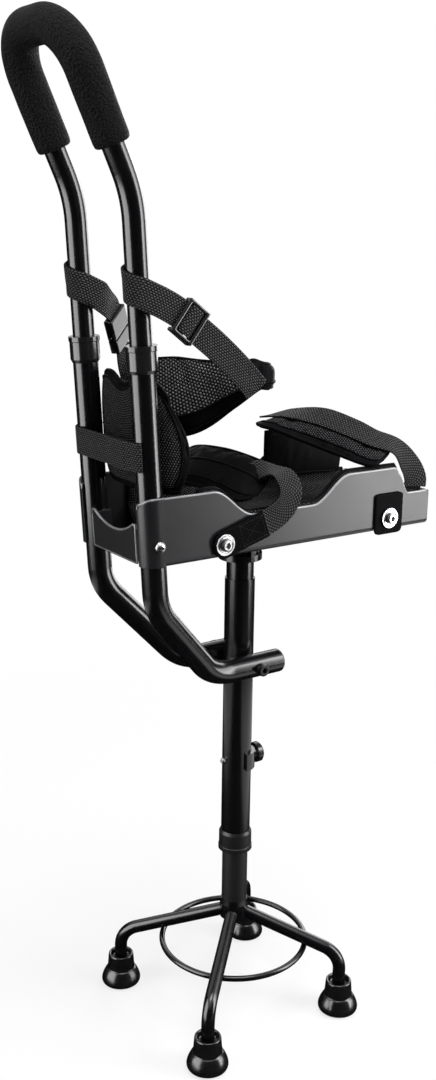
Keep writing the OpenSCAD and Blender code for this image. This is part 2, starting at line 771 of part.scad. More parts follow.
// Half the trough's outline, from the middle of the floor to the top of a side, at a share v of the way;
// its lower corners are cut off to clear the strap nuts
corner_y = 20;
corner_z = 23;
function trough_y(v) = v < 0.55 ? (cushion_side - corner_y)*v/0.55 : cushion_side - corner_y*pow(max(0, 1 - (v - 0.55)/0.2), 1.1);
function trough_z(v, h) = v < 0.55 ? 0 : v < 0.75 ? corner_z*pow((v - 0.55)/0.2, 1.1) : mix(corner_z, h, (v - 0.75)/0.25);
function trough_t(v) = v < 0.55 ? cushion_t : mix(cushion_t, side_t, (v - 0.55)/0.45);
// Channels lie where the cushion is sewn down
function channel(v) = 3.2*(exp(-pow((v - 0.28)/0.05, 2)) + exp(-pow((v - 0.62)/0.05, 2)));

function trough_point(x, w, u, inner) =
  let (v = abs(w), s = w < 0 ? -1 : 1, h = wall_top(x) + 3,
    end = sqrt(max(0.05, 1 - pow(abs(2*u - 1), 8))),
    t = inner*max(2.5, (trough_t(v) - channel(v))*end),
    up = v < 0.55 ? 1 : cos(90*min(1, (v - 0.55)/0.2)), in = v < 0.55 ? 0 : sin(90*min(1, (v - 0.55)/0.2)))
  [x, s*(trough_y(v) - t*in), tray_z + sheet_t + 2.6 + trough_z(v, h - sheet_t - 2.6) + t*up];

module shin_cushion() {
  n = 22;
  m = 26;
  x_at = [for (i = [0:n]) mix(-cushion_front, cushion_rear, i/n)];
  color("#191a1c") placed() slab(
    [for (i = [0:n]) [for (j = [0:m]) trough_point(x_at[i], 2*j/m - 1, i/n, 1)]],
    [for (i = [0:n]) [for (j = [0:m]) trough_point(x_at[i], 2*j/m - 1, i/n, 0)]]);
}

// Knee pad: a shield bent round the front of the thigh, with two rounded ears

knee_back = tube_r + soft_gap + 28.6;
knee_round = 30;
knee_half = half_gap + 8;

function knee_top(u) = knee_pad_top - 8*exp(-pow(u/0.16, 2)) - 16*pow(max(0, abs(u) - 0.4)/0.6, 2);
function knee_turn(v) = mix(58, 84, sin(180*min(1, 0.12 + v*0.95)));

function knee_point(u, v, side) =
  let (a = u*knee_turn(v), t = edge_t + (knee_pad_t - edge_t)*crown((u + 1)/2)*crown(v)*(1 - 0.22*exp(-pow((abs(u) - 0.8)/0.05, 2))),
    r = side*t/2, sx = pow(cos(a), 0.75), sy = pow(abs(sin(a)), 0.75))
  [knee_back - (knee_round + r)*sx, (u < 0 ? -1 : 1)*(knee_half + r)*sy, mix(knee_pad_foot, knee_top(u), v)];

module knee_pad() {
  n = 14;
  m = 26;
  color("#18191b") placed() on_tube(0, tray_z) slab(
    [for (i = [0:n]) [for (j = [0:m]) knee_point(2*j/m - 1, i/n, 1)]],
    [for (i = [0:n]) [for (j = [0:m]) knee_point(2*j/m - 1, i/n, -1)]]);
}

// A strap round the far frame tube and across to the front of the near one

hug_r = tube_r + soft_gap + web_t/2;

function hug(side, a) = [-hug_r*cos(a), side*(half_gap + hug_r*sin(a)), lower_strap_h, -cos(a), side*sin(a), 0];

module lower_strap() {
  turn = [for (a = [0:22.5:112.5]) a];
  far_turn = [for (k = [len(turn) - 1:-1:0]) hug(1, turn[k])];
  near_turn = [for (a = [0:12.5:37.5]) hug(-1, a)];
  color("#141516") placed() on_tube(0, tray_z) ribbon(concat(far_turn, near_turn));
}

// Upper straps, looped round the handle's tubes

hold_r = upper_r + 2.6*soft_gap + web_t/2;
strap_z = collar_z + upper_strap_h;

tube_out = [cos(tube_lean), 0, sin(tube_lean)];
// The straps slope down as they wind round their tubes, both over the front and towards the near side
loop_slope = 0.32;
function loop(side, a) = let (n = [0, -sin(a), 0] - tube_out*cos(a), fall = loop_slope*hold_r*(a + 20)*PI/180)
  [each (tube_axis(side, strap_z) + n*hold_r - tube_up*fall), each n];

tube_x = tube_axis(0, strap_z).x;
near_y = -half_gap - hold_r;
far_y = half_gap + hold_r;
thigh_z = tray_z + thigh_top;
drop = strap_z - thigh_z;

// The thigh band's route, from its far end round to its near end: place, rise of its upper edge, and its
// height as a share of the wide end's
thigh_route = [
  [tube_x + 48, half_gap + 6, 0, 0.92],
  [tube_x + 66, half_gap - 2, 0, 1],
  [tube_x + 94, half_gap - 24, 2, 0.98],
  [tube_x + 120, 0, 0, 0.62],
  [tube_x + 134, 24 - half_gap, 0, 0.35],
  [tube_x + 135, 7 - half_gap, 1, 0.28],
  [tube_x + 126, -8 - half_gap, 2, 0.29],
  [tube_x + 110, -11 - half_gap, 6, 0.34],
  [tube_x + 98, -11.2 - half_gap, 12, 0.36]];

near_run = [
  [tube_x + 14, near_y - 2.6, strap_z - 0.19*drop, 0, -1, 0],
  [tube_x + 30, near_y - 2.8, strap_z - 0.31*drop, 0, -1, 0],
  [tube_x + 49, near_y - 3, strap_z - 0.515*drop, 0, -1, 0],
  [tube_x + 67, near_y - 3.6, strap_z - 0.71*drop, 0, -1, 0],
  [tube_x + 86, near_y - 4.4, strap_z - 0.94*drop, 0, -1, 0],
  [tube_x + 103, near_y - 4.5, thigh_z - 12, 0, -1, 0]];

// The far buckle's axis, from the strap's end to the tail's start
buckle_a = [tube_x + 36, far_y - 8, strap_z - 0.46*drop];
buckle_b = [tube_x + 46, far_y - 1, strap_z - 0.77*drop];
buckle_d = unit(buckle_b - buckle_a);
function on_buckle(p, side) = [each p, -0.57*side, 0.82*side, 0];

// The far strap turns behind its tube, out to the band's far side
far_run = [
  [tube_x + 11, half_gap - hold_r - 2.6, strap_z - 0.18*drop, 0, -1, 0],
  [tube_x + 22, half_gap - 0.75*hold_r, strap_z - 0.28*drop, 0.5, -0.85, 0],
  on_buckle(buckle_a - buckle_d*7, -1),
  on_buckle(buckle_a, -1)];

tail_run = [
  on_buckle(buckle_b, 1),
  on_buckle(buckle_b + buckle_d*7, 1),
  [tube_x + 57, far_y - 0.9, thigh_z - 10, 0.1, 1, 0],
  [tube_x + 63, far_y - 2.6, thigh_z - 32, 0.3, 1, 0]];

function looped(side, run) = concat([for (a = [-150:15:75]) loop(side, a)], smooth(run, 5));

module near_strap() {
  color("#141516") placed() ribbon(looped(-1, near_run));
}

module far_strap() {
  color("#141516") placed() ribbon(looped(1, far_run));
}

module far_strap_tail() {
  color("#141516") placed() ribbon(smooth(tail_run, 4));
}

module thigh_band() {
  path = smooth(thigh_route, 4);
  n = len(path) - 1;
  spots = [for (s = path) spot(s)];
  tip = [for (i = [0:n]) round_tip(i/n, 0.1)*round_tip(1 - i/n, 0.1)];
  tall = [for (s = path) s[3]*thigh_h];
  stations = [for (i = [0:n]) let (d = direction([for (s = spots) [s.x, s.y, 0]], i))
    [spots[i].x, spots[i].y, thigh_z + spots[i].z - tall[i]/2, d.y, -d.x, 0]];
  thick = [for (i = [0:n]) edge_t + (mix(thigh_t, 0.5*thigh_t, ease((i/n - 0.55)/0.4)) - edge_t)*tip[i]];
  color("#191a1c") placed() band(stations, [for (i = [0:n]) tall[i]/2*tip[i]], thick);
}

// The slider's bars pass over and under the strap
module at_ribbon(s) {
  t = unit(spot(s[1]) - spot(s[0]));
  n = unit(look(s[0]) - t*(t*look(s[0])));
  oriented(t, cross(n, t), n, (spot(s[0]) + spot(s[1]))/2) children();
}

module near_slider() {
  over = web_t/2 + soft_gap;
  bar = 3;
  rail = 3;
  long = 23;
  wide = web_w + 2*soft_gap + 2*rail;
  color("#1b1c1e") placed() at_ribbon([near_run[1], near_run[2]]) {
    for (s = [-1, 1]) translate([-long/2, s > 0 ? wide/2 - rail : -wide/2, -over - bar]) cube([long, rail, 2*(over + bar)]);
    for (x = [-long/2, long/2 - bar]) translate([x, -wide/2, over]) cube([bar, wide, bar]);
    translate([-bar, -wide/2, -over - bar]) cube([2*bar, wide, bar]);
  }
}

buckle_t = 8;
buckle_wall = 2;
buckle_w = web_w + 2*buckle_wall + 2;
buckle_len = norm(buckle_b - buckle_a);
buckle_in = 4;
buckle_part = 0.6*buckle_len;

module at_far_buckle() {
  at_ribbon([far_run[2], tail_run[1]]) translate([-buckle_len/2, 0, 0]) children();
}

module buckle_box(start, end, solid) {
  difference() {
    translate([start, -buckle_w/2, -buckle_t/2]) cube([end - start, buckle_w, buckle_t]);
    translate([solid > 0 ? start + solid : start - 1, buckle_wall - buckle_w/2, buckle_wall - buckle_t/2])
      cube([end - start + (solid > 0 ? 1 : 2), buckle_w - 2*buckle_wall, buckle_t - 2*buckle_wall]);
  }
}

// Socket half of the far buckle: the strap's end goes in above, the clip half's prongs below
module far_buckle_socket() {
  color("#1b1c1e") placed() at_far_buckle() buckle_box(-buckle_in, buckle_part, 0);
}

module far_buckle_clip() {
  start = buckle_part + fit;
  inside = buckle_w - 2*buckle_wall - 4*fit;
  prong = buckle_t - 2*buckle_wall - 4*fit;
  color("#1b1c1e") placed() at_far_buckle() {
    buckle_box(start, buckle_len + buckle_in, 4);
    for (y = [-inside/2, -2, inside/2 - 4]) translate([3, y, -prong/2]) cube([start - 2, 4, prong]);
  }
}

// Calf straps

// A padded band over the shin, from inside the far wall to the near side
wing_z = tray_z + wing_rise;
calf_tilt = [-0.5, -0.2, 0.87];
wing_run = [
  [-54, wall_in - 14, wing_z - 18, -0.3, 0.7, 0.6],
  [-51, wall_in - 18, wing_z - 10, -0.4, 0.4, 0.8],
  [-44, wall_in - 32, wing_z - 6, each calf_tilt],
  [-35, 4, wing_z - 5, each calf_tilt],
  [-27, -18, wing_z - 8, each calf_tilt],
  [-20, 20 - wall_in, wing_z - 13, each calf_tilt],
  [-15, 10 - wall_in, wing_z - 18, -0.4, -0.4, 0.8]];

module front_wing_pad() {
  path = smooth(wing_run, 3);
  n = len(path) - 1;
  tip = [for (i = [0:n]) round_tip(i/n, 0.22)*round_tip(1 - i/n, 0.1)];
  color("#18191b") placed() band(path, [for (t = tip) 25*t], [for (t = tip) edge_t + (calf_pad_t - edge_t)*t]);
}

// A station moved sideways on its pad and lifted to lie on top of it
function on_pad(run, i, aside) =
  let (d = direction([for (s = run) spot(s)], i), n0 = look(run[i]), n = unit(n0 - d*(d*n0)))
  [each (spot(run[i]) + cross(n, d)*aside + n*(calf_pad_t/2 + web_t/2 + 2*soft_gap)), each n];

tab_y = -wall_out - soft_gap - web_t/2;
bolt_z = tray_z + strap_bolt_h;

// Webbing from the wing's near end, over the dip in the wall and forward to its bolt
front_strap_run = [
  on_pad(wing_run, 4, 9),
  on_pad(wing_run, 5, 10),
  [-1, 9 - wall_in, wing_z - 3, 0.1, -0.35, 0.93],
  [5, -wall_in, wing_z - 8, 0.1, -0.85, 0.5],
  [7, tab_y - 2.5, wing_z - 20, 0, -1, 0.1],
  [1, tab_y - 3, wing_z - 33, 0, -1, 0],
  [-14, tab_y - 1.5, bolt_z + 16, 0, -1, 0],
  [-37, tab_y, bolt_z + 8, 0, -1, 0],
  [-front_bolt_x, tab_y, bolt_z, 0, -1, 0],
  [-front_bolt_x - 11, tab_y, bolt_z - 3, 0, -1, 0]];

module bolt_hole(x) {
  translate([x, tab_y, bolt_z]) rotate([90, 0, 0]) cylinder(d = strap_bolt_d + 4*fit, h = 4*web_t, center = true);
}

module front_strap() {
  color("#141516") placed() difference() {
    ribbon(smooth(front_strap_run, 4));
    bolt_hole(-front_bolt_x);
  }
}

// A flap sewn inside the far side of the cushion, which carries the rear pad
module rear_flap() {
  foot = tray_z + 36;
  high = tray_z + rear_pad_rise - 8;
  y = cushion_side - 12.2;
  top = [for (k = [0:9]) mix(high, foot + 16, ease(k/9 - 0.15))];
  path = [for (k = [0:9]) [mix(60, 158, k/9), y, (foot + top[k])/2, 0, -1, 0]];
  color("#18191b") placed() band(path, [for (t = top) (t - foot)/2], [for (k = [0:9]) 6*(k == 0 || k == 9 ? 0.6 : 1)], 6);
}

rear_z = tray_z + rear_pad_rise;
rim_z = tray_z + tail_h + 3;
rear_run = [
  [62, cushion_side - 4, rear_z - 2, 0, 0.2, 1],
  [76, cushion_side - 26, rear_z + 1, -0.25, 0, 1],
  [91, 4, rear_z - 1, each calf_tilt],
  [106, -22, rear_z - 9, each calf_tilt],
  [118, 19 - cushion_side, rear_z - 17, -0.3, -0.4, 0.87],
  [127, 5 - cushion_side, rear_z - 24, -0.1, -0.4, 0.9]];

module rear_pad() {
  path = smooth(rear_run, 3);
  n = len(path) - 1;
  tip = [for (i = [0:n]) round_tip(i/n, 0.1)*round_tip(1 - i/n, 0.12)];
  color("#18191b") placed() band(path, [for (t = tip) 23*t], [for (t = tip) edge_t + (calf_pad_t - edge_t)*t]);
}

// Webbing over the rear pad and down to the rim of the cushion, inside the tray's tail
rear_strap_run = [
  on_pad(rear_run, 0, 8),
  on_pad(rear_run, 1, 9),
  on_pad(rear_run, 2, 9),
  on_pad(rear_run, 3, 9),
  on_pad(rear_run, 4, 9),
  [143, 7 - cushion_side, rear_z - 16, -0.1, -0.6, 0.8],
  [158, 3 - cushion_side, rear_z - 34, -0.15, -0.9, 0.4],
  [cushion_rear - 3.5, side_t/2 - cushion_side, mix(rear_z - 34, rim_z, 0.6), -0.2, -1, 0.1],
  [cushion_rear - 3.5, side_t/2 - cushion_side, rim_z + 3*soft_gap, -0.2, -1, 0]];

module rear_strap() {
  color("#141516") placed() ribbon(smooth(rear_strap_run, 4));
}

// A tab from its bolt up to a slot in the near wall, through which it reaches the cushion
module rear_tab() {
  low = bolt_z - rear_tab_w/2 + 2;
  high = slot_z + slot_h/2 - soft_gap;
  face = wall_out + soft_gap;
  color("#161718") placed() difference() {
    union() {
      translate([rear_bolt_x - rear_tab_w/2, -face, low]) rotate([90, 0, 0]) linear_extrude(web_t)
        offset(4) offset(-4) square([rear_tab_w, high - low]);
      translate([rear_bolt_x - slot_w/2 + soft_gap, -face - web_t/2, high - web_t - fit])
        cube([slot_w - 2*soft_gap, face + web_t/2 - cushion_side - soft_gap, web_t]);
    }
    bolt_hole(rear_bolt_x);
  }
}

// Handle

function handle_knee(side) = tube_axis(side, handle_corner);
function arch_end(side) = handle_knee(side) + handle_up*handle_straight;
function arch_corner(side) = arch_end(side) + handle_up*arch_bend_r;
function handle_foot(side) = tube_axis(side, tray_z + screw_h + handle_clear);
function foam_end(side) = arch_end(side) - handle_up*foam_leg;

module handle_solid(radius, on_ends) {
  solid_run(
    [handle_foot(-1), handle_knee(-1), arch_corner(-1), arch_corner(1), handle_knee(1), handle_foot(1)],
    [0, handle_bend_r, arch_bend_r, arch_bend_r, handle_bend_r, 0], radius, on_ends, on_ends);
}

module handle_tube() {
  color("#17181a") placed() difference() {
    handle_solid(upper_r, 0);
    handle_solid(upper_r - frame_wall, 1);
  }
}

module handle_glides() {
  color("#202124") placed() for (side = [-1, 1]) along(handle_foot(side), handle_knee(side)) {
    translate([0, 0, -3]) cylinder(r = tube_r - frame_wall - fit, h = 3 - fit);
    translate([0, 0, -fit]) cylinder(r = upper_r - frame_wall - fit, h = 10);
  }
}

module foam_solid(radius, on_ends) {
  solid_run(
    [foam_end(-1), arch_corner(-1), arch_corner(1), foam_end(1)], [0, arch_bend_r, arch_bend_r, 0],
    radius, on_ends, on_ends);
}

module foam_grip() {
  edge = 3;
  color("#161718") placed() difference() {
    union() {
      foam_solid(foam_d/2, -edge);
      for (side = [-1, 1]) along(foam_end(side), arch_end(side)) rotate_extrude() round_end_2d(foam_d/2, 0, edge);
    }
    foam_solid(upper_r + hair + fit, 1);
  }
}

module tube_collar(side) {
  color("#1b1c1e") placed() on_tube(side, collar_z - tube_collar_h/2) rotate_extrude()
    collar_2d(tube_r, upper_r, tube_collar_h);
}

module near_collar() tube_collar(-1);
module far_collar() tube_collar(1);

front_near_foot();
front_far_foot();
rear_near_foot();
rear_far_foot();
front_near_leg();
front_far_leg();
rear_near_leg();
rear_far_leg();
base_ring();
leg_hub();
lower_post();
lower_post_plug();
upper_post();
post_collar();
lock_pin();
pin_knob();
pin_clip();
post_spigot();
post_head();
head_bolts();
head_nuts();
near_frame_tube();
far_frame_tube();
tube_end_plugs();
cross_bolt();
cross_nut();
shin_tray();
front_plate();
tray_screws();
strap_bolts();
strap_washers();
strap_nuts();
shin_cushion();
knee_pad();
lower_strap();
front_wing_pad();
front_strap();
rear_flap();
rear_pad();
rear_strap();
rear_tab();
near_collar();
far_collar();
handle_tube();
handle_glides();
foam_grip();
near_strap();
near_slider();
far_strap();
far_buckle_socket();
far_buckle_clip();
far_strap_tail();
thigh_band();
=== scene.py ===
# %% [markdown]
# # A hands free crutch, dressed over its CAD frame
#
# The crutch is a padded shin tray on a telescoping post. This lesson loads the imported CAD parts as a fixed
# frame, gives every metal and plastic part a finish of its own, and replaces each soft part with sewn
# goods. All sizes come from the CAD model, in millimetres from the middle of the post, and one helper turns
# them into metres in the shared frame.

# %% Load the frame
import json
import math

import bmesh
import bpy
import numpy as np
from mathutils import Matrix, Vector, noise


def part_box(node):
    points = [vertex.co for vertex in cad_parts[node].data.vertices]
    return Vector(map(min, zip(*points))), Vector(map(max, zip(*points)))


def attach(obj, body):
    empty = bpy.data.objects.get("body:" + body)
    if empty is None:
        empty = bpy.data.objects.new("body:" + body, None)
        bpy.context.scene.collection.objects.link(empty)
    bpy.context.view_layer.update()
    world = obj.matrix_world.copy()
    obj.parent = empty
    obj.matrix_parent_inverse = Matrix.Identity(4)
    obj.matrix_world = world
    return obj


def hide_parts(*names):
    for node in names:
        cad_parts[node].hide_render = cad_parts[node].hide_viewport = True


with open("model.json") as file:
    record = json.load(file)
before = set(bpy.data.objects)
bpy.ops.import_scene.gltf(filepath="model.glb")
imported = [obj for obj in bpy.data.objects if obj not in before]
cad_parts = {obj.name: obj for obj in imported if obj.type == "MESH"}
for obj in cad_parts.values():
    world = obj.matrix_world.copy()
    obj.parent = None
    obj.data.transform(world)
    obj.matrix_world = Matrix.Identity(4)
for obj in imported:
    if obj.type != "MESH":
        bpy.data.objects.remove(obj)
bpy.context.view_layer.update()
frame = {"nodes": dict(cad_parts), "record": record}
nodes = frame["nodes"]

# %% [markdown]
# ## Camera
#
# One camera was fitted to the photograph. It stands ahead of the crutch and to its near side, a little
# above the tray, and it is given by where it stands, the way it looks and a slight roll, because those
# numbers are easier to read than a matrix.

# %% Camera
scene = bpy.context.scene
azimuth, elevation, roll = (math.radians(a) for a in (-34.79, 14.55, 0.786))
flat = math.cos(elevation)
back = Vector((math.sin(azimuth)*flat, -math.cos(azimuth)*flat, math.sin(elevation)))
level = Vector((math.cos(azimuth), math.sin(azimuth), 0))
upright = back.cross(level)
right = level*math.cos(roll) + upright*math.sin(roll)
camera = bpy.data.objects.new("camera", bpy.data.cameras.new("camera"))
camera.matrix_world = Matrix((right, back.cross(right), back)).transposed().to_4x4()
camera.location = (-0.6234, -0.88585, 0.76966)
camera.data.sensor_fit = "VERTICAL"
camera.data.sensor_height = 36
camera.data.lens = 40.12
camera.data.shift_y = -0.0012
scene.collection.objects.link(camera)
scene.camera = camera
scene.view_settings.view_transform = "Standard"
print("camera stands", round(camera.location.length, 2), "m from the crutch's foot")

# %% [markdown]
# ## Shader sums as Python sums
#
# A finish is a tree of nodes, and most of it is arithmetic. The class below wraps a socket so that an
# expression such as `1 - mask` adds its own Math nodes. Every other node is made by one method, which takes
# the node's type, its settings, and the values or links of its sockets.

# %% Sockets and trees
def maths(operation):
    """A method that adds one Math node to the socket's tree."""
    return lambda self, other=0.0: self.sum(operation, self, other)


class Sock:
    __add__ = __radd__ = maths("ADD")
    __mul__ = __rmul__ = maths("MULTIPLY")
    __sub__, __truediv__, __pow__ = maths("SUBTRACT"), maths("DIVIDE"), maths("POWER")
    __gt__, __mod__ = maths("GREATER_THAN"), maths("FLOORED_MODULO")
    sine, cosine, size, floor = maths("SINE"), maths("COSINE"), maths("ABSOLUTE"), maths("FLOOR")
    at_most, at_least = maths("MINIMUM"), maths("MAXIMUM")

    def __init__(self, tree, socket):
        self.tree, self.socket = tree, socket

    def __rsub__(self, other):
        return self.sum("SUBTRACT", other, self)

    def sum(self, operation, first, second):
        return self.tree.node("ShaderNodeMath", {0: first, 1: second}, operation=operation)


class Tree:
    def __init__(self, tree):
        self.tree = tree

    def node(self, kind, values=None, out=0, **settings):
        made = self.tree.nodes.new(kind)
        for name, value in settings.items():
            setattr(made, name, value)
        for name, value in (values or {}).items():
            self.plug(made.inputs[name], value)
        return Sock(self, made.outputs[out])

    def plug(self, socket, value):
        if isinstance(value, Sock):
            self.tree.links.new(value.socket, socket)
        else:
            socket.default_value = value

    def parts(self, where, letters):
        return [self.node("ShaderNodeSeparateXYZ", {0: where}, letter) for letter in letters]


class Finish(Tree):
    """Constants go on the shader's own sockets, and what varies is plugged in later."""

    def __init__(self, name, **constants):
        self.material = bpy.data.materials.new(name)
        self.material.use_nodes = True
        super().__init__(self.material.node_tree)
        self.shader = self.tree.nodes["Principled BSDF"]
        self.set(**constants)

    def set(self, **values):
        for name, value in values.items():
            self.plug(self.shader.inputs[name.replace("_", " ")], value)

    def place(self):
        return self.node("ShaderNodeTexCoord", out="Object")

    def grain(self, scale, detail=3.0, rough=0.55, stretch=None):
        where = self.place()
        if stretch:
            where = self.node("ShaderNodeMapping", {"Vector": where, "Scale": stretch})
        values = {"Vector": where, "Scale": scale, "Detail": detail, "Roughness": rough}
        return self.node("ShaderNodeTexNoise", values)

    def tint(self, dark, pale, share):
        """Mixes two greys, given as (red and green, blue)."""
        low, high = ((grey, grey, blue, 1) for grey, blue in (dark, pale))
        return self.node("ShaderNodeMix", {"Factor": share, "A": low, "B": high}, "Result", data_type="RGBA")

    def bump(self, height, depth, strength, **values):
        values.update(Height=height, Distance=depth, Strength=strength)
        return self.node("ShaderNodeBump", values)


print("shader helpers ready")

# %% [markdown]
# ## Stage and light
#
# The photograph is a studio picture on white. The world and the floor show white to the camera and to
# reflections, and light the crutch at a plain level. Black gloss is lit by what it mirrors: tall soft boxes
# on both sides draw the broad streaks on the tubes and the shine on the tray, one overhead lights the
# edges, and those behind do the same for the far side. A dark studio wall and a dark floor cloth, which
# only reflections see, keep the middle of each tube black.

# %% Soft boxes
MIDDLE = Vector((0, 0, 0.47))
toward = Vector((back.x, back.y, 0)).normalized()
# degrees to the right from the camera's side, distance, rise, width and height in metres, watts
BOXES = {
    "left_box": (-70, 1.5, 0.5, 0.8, 1.6, 11),
    "right_box": (80, 1.6, 0.5, 0.8, 1.6, 30),
    "top_box": (40, 0.45, 1.5, 0.9, 0.9, 24),
    "left_shine": (-66, 1.5, 0.2, 1.4, 2.1, 66),
    "right_shine": (88, 1.6, 0.2, 0.9, 2.1, 39),
    "right_streak": (80, 1.55, 0.2, 0.3, 2.1, 13),
    "top_shine": (20, 0.35, 1.5, 0.9, 0.9, 20),
    "back_shine": (180, 2.3, 0.92, 2.5, 0.5, 11),
    "far_box": (165, 1.8, 0.5, 0.8, 1.6, 12),
    "far_shine": (150, 1.9, 0.1, 1.2, 1.6, 24)}


def way_round(a):
    return toward*math.cos(a) + level*math.sin(a)


for name, (degrees, distance, rise, wide, high, watts) in BOXES.items():
    lamp = bpy.data.objects.new(name, bpy.data.lights.new(name, "AREA"))
    lamp.data.shape, lamp.data.size, lamp.data.size_y, lamp.data.energy = "RECTANGLE", wide, high, watts
    lamp.location = MIDDLE + way_round(math.radians(degrees))*distance + Vector((0, 0, rise))
    lamp.rotation_euler = (MIDDLE - lamp.location).to_track_quat("-Z", "Y").to_euler()
    lamp.visible_diffuse = name.endswith("box")
    lamp.visible_glossy = not lamp.visible_diffuse
    scene.collection.objects.link(lamp)
print("stage with", len(BOXES), "soft boxes")

# %% White world and paper floor
PLAIN_LIGHT, NEAR_WHITE = 0.15, 0.72


def seen_rays(tree):
    """1 for rays from the camera, from a mirror and through glass."""
    ray = tree.tree.nodes.new("ShaderNodeLightPath").outputs
    kinds = [Sock(tree, ray[f"Is {kind} Ray"]) for kind in ("Camera", "Glossy", "Transmission")]
    return (kinds[0] + kinds[1] + kinds[2]).at_most(1.0)


world = bpy.data.worlds.new("studio")
world.use_nodes = True
scene.world = world
sky = Tree(world.node_tree)
backdrop = world.node_tree.nodes["Background"].inputs
sky.plug(backdrop["Color"], (1, 1, 1, 1))
sky.plug(backdrop["Strength"], seen_rays(sky)*(1 - PLAIN_LIGHT) + PLAIN_LIGHT)

bpy.ops.mesh.primitive_plane_add(size=16, location=(0, 0, -0.0006))
floor = bpy.context.object
floor.name = "floor"
paper = Finish("studio paper", Base_Color=(0.86, 0.86, 0.86, 1), Roughness=0.9, Specular_IOR_Level=0.1)
lit = paper.node("ShaderNodeEmission")
away = paper.node("ShaderNodeVectorMath", {0: paper.place()}, "Value", operation="LENGTH")
white = seen_rays(paper)*(NEAR_WHITE + (1 - NEAR_WHITE)*(away*0.9).at_most(1.0))
mixed = paper.node("ShaderNodeMixShader", {"Fac": white, 1: Sock(paper, paper.shader.outputs[0]), 2: lit})
paper.plug(paper.tree.nodes["Material Output"].inputs["Surface"], mixed)
floor.data.materials.append(paper.material)
print("floor", tuple(floor.dimensions))


# %% Dark wall and floor cloth
def ring_faces(count, n, start=0):
    """Faces between count rings of n points each."""
    pairs = [(start + k*n + q, start + k*n + (q + 1) % n) for k in range(count - 1) for q in range(n)]
    return [(a, b, b + n, a + n) for a, b in pairs]


WALL_R, FRONT_H, BACK_H, CLOTH_R, STRIP, SIDES = 2.4, 2.4, 1.12, 0.9, (-0.55, 0.38), 64
ways = [way_round(2*math.pi*q/SIDES) for q in range(SIDES)]
points = [way*CLOTH_R for way in ways] + [way*WALL_R for way in ways]
points += [way*WALL_R + Vector((0, 0, BACK_H if way.dot(toward) < -0.4 else FRONT_H)) for way in ways]
points += [toward*CLOTH_R*f + level*STRIP[g] for f, g in ((-1, 0), (1, 0), (1, 1), (-1, 1))]
wall = bpy.data.objects.new("dark_wall", bpy.data.meshes.new("dark_wall"))
wall.data.from_pydata(points, [], ring_faces(3, SIDES) + [tuple(range(3*SIDES, len(points)))])
scene.collection.objects.link(wall)
wall.visible_camera = wall.visible_diffuse = wall.visible_shadow = wall.visible_transmission = False
felt = Finish("black felt", Base_Color=(0.004, 0.004, 0.004, 1), Roughness=1.0, Specular_IOR_Level=0.0)
wall.data.materials.append(felt.material)
print("dark wall", len(wall.data.polygons), "faces")

# %% [markdown]
# ## Finishes of the hard parts
#
# The tubes are powder coated: black, half glossy, with the faint orange peel that the powder leaves. The
# tray and the lower post have a satin coat that lies thinner and greyer. The handle's collars and the
# buckle are glossy moulded plastic, the post's collar is duller, the feet are rubber with a slight bloom,
# and the bolts are plated steel with turning marks. Noise in the object's own space varies each, because it
# needs no UV map.

# %% Paint
def powder_coat(name, dark, pale, rough, shine, edge=0.0):
    """edge: the radius, in metres, that the shading gives to cut edges."""
    f = Finish(name, Specular_IOR_Level=shine)
    cloud = f.grain(14, 4)
    under = {"Normal": f.node("ShaderNodeBevel", {"Radius": edge}, samples=6)} if edge else {}
    f.set(Base_Color=f.tint(dark, pale, cloud), Normal=f.bump(f.grain(900, 2), 0.00012, 0.3, **under),
          Roughness=rough + 0.08*(cloud - 0.5) + 0.05*(f.grain(160) - 0.5))
    return f.material


tube_paint = powder_coat("black powder coat", (0.002, 0.0025), (0.005, 0.006), 0.2, 0.5)
tray_paint = powder_coat("satin tray coat", (0.009, 0.010), (0.015, 0.017), 0.31, 0.4, 0.0011)
post_paint = powder_coat("satin post coat", (0.006, 0.007), (0.012, 0.013), 0.4, 0.5)
# The rims' pale grey is a painted highlight: it draws the bright line along each rolled edge.
rim_highlight_paint = powder_coat("rolled rim coat", (0.05, 0.053), (0.34, 0.35), 0.25, 0.8)
print("coats ready")


# %% Plastic, rubber and steel
def grained(name, grain, dark, pale, rough, swing, depth=0.0, strength=0.0, fine=None, **constants):
    """Colour, roughness and bumps follow one noise; the bumps may follow a finer one."""
    f = Finish(name, **constants)
    cloud = f.grain(*grain)
    f.set(Base_Color=f.tint(dark, pale, cloud), Roughness=rough + swing*(cloud - 0.5))
    if depth:
        f.set(Normal=f.bump(f.grain(*fine) if fine else cloud, depth, strength))
    return f.material


def moulded(name, shade, rough, shine=0.5):
    return grained(name, (45, 3), (shade*0.8,)*2, (shade*1.3,)*2, rough, 0.08, 0.00006, 0.3, (1400, 1),
                   Specular_IOR_Level=shine)


def steel(name, shade, rough):
    return grained(name, (900, 2, 0.5, (1, 1, 0.15)), (shade*0.86,)*2, (shade,)*2, rough, 0.12, 0.00004, 0.3,
                   Metallic=1.0)


def paint(name, material):
    mesh = nodes[name].data
    mesh.materials.clear()
    mesh.materials.append(material)


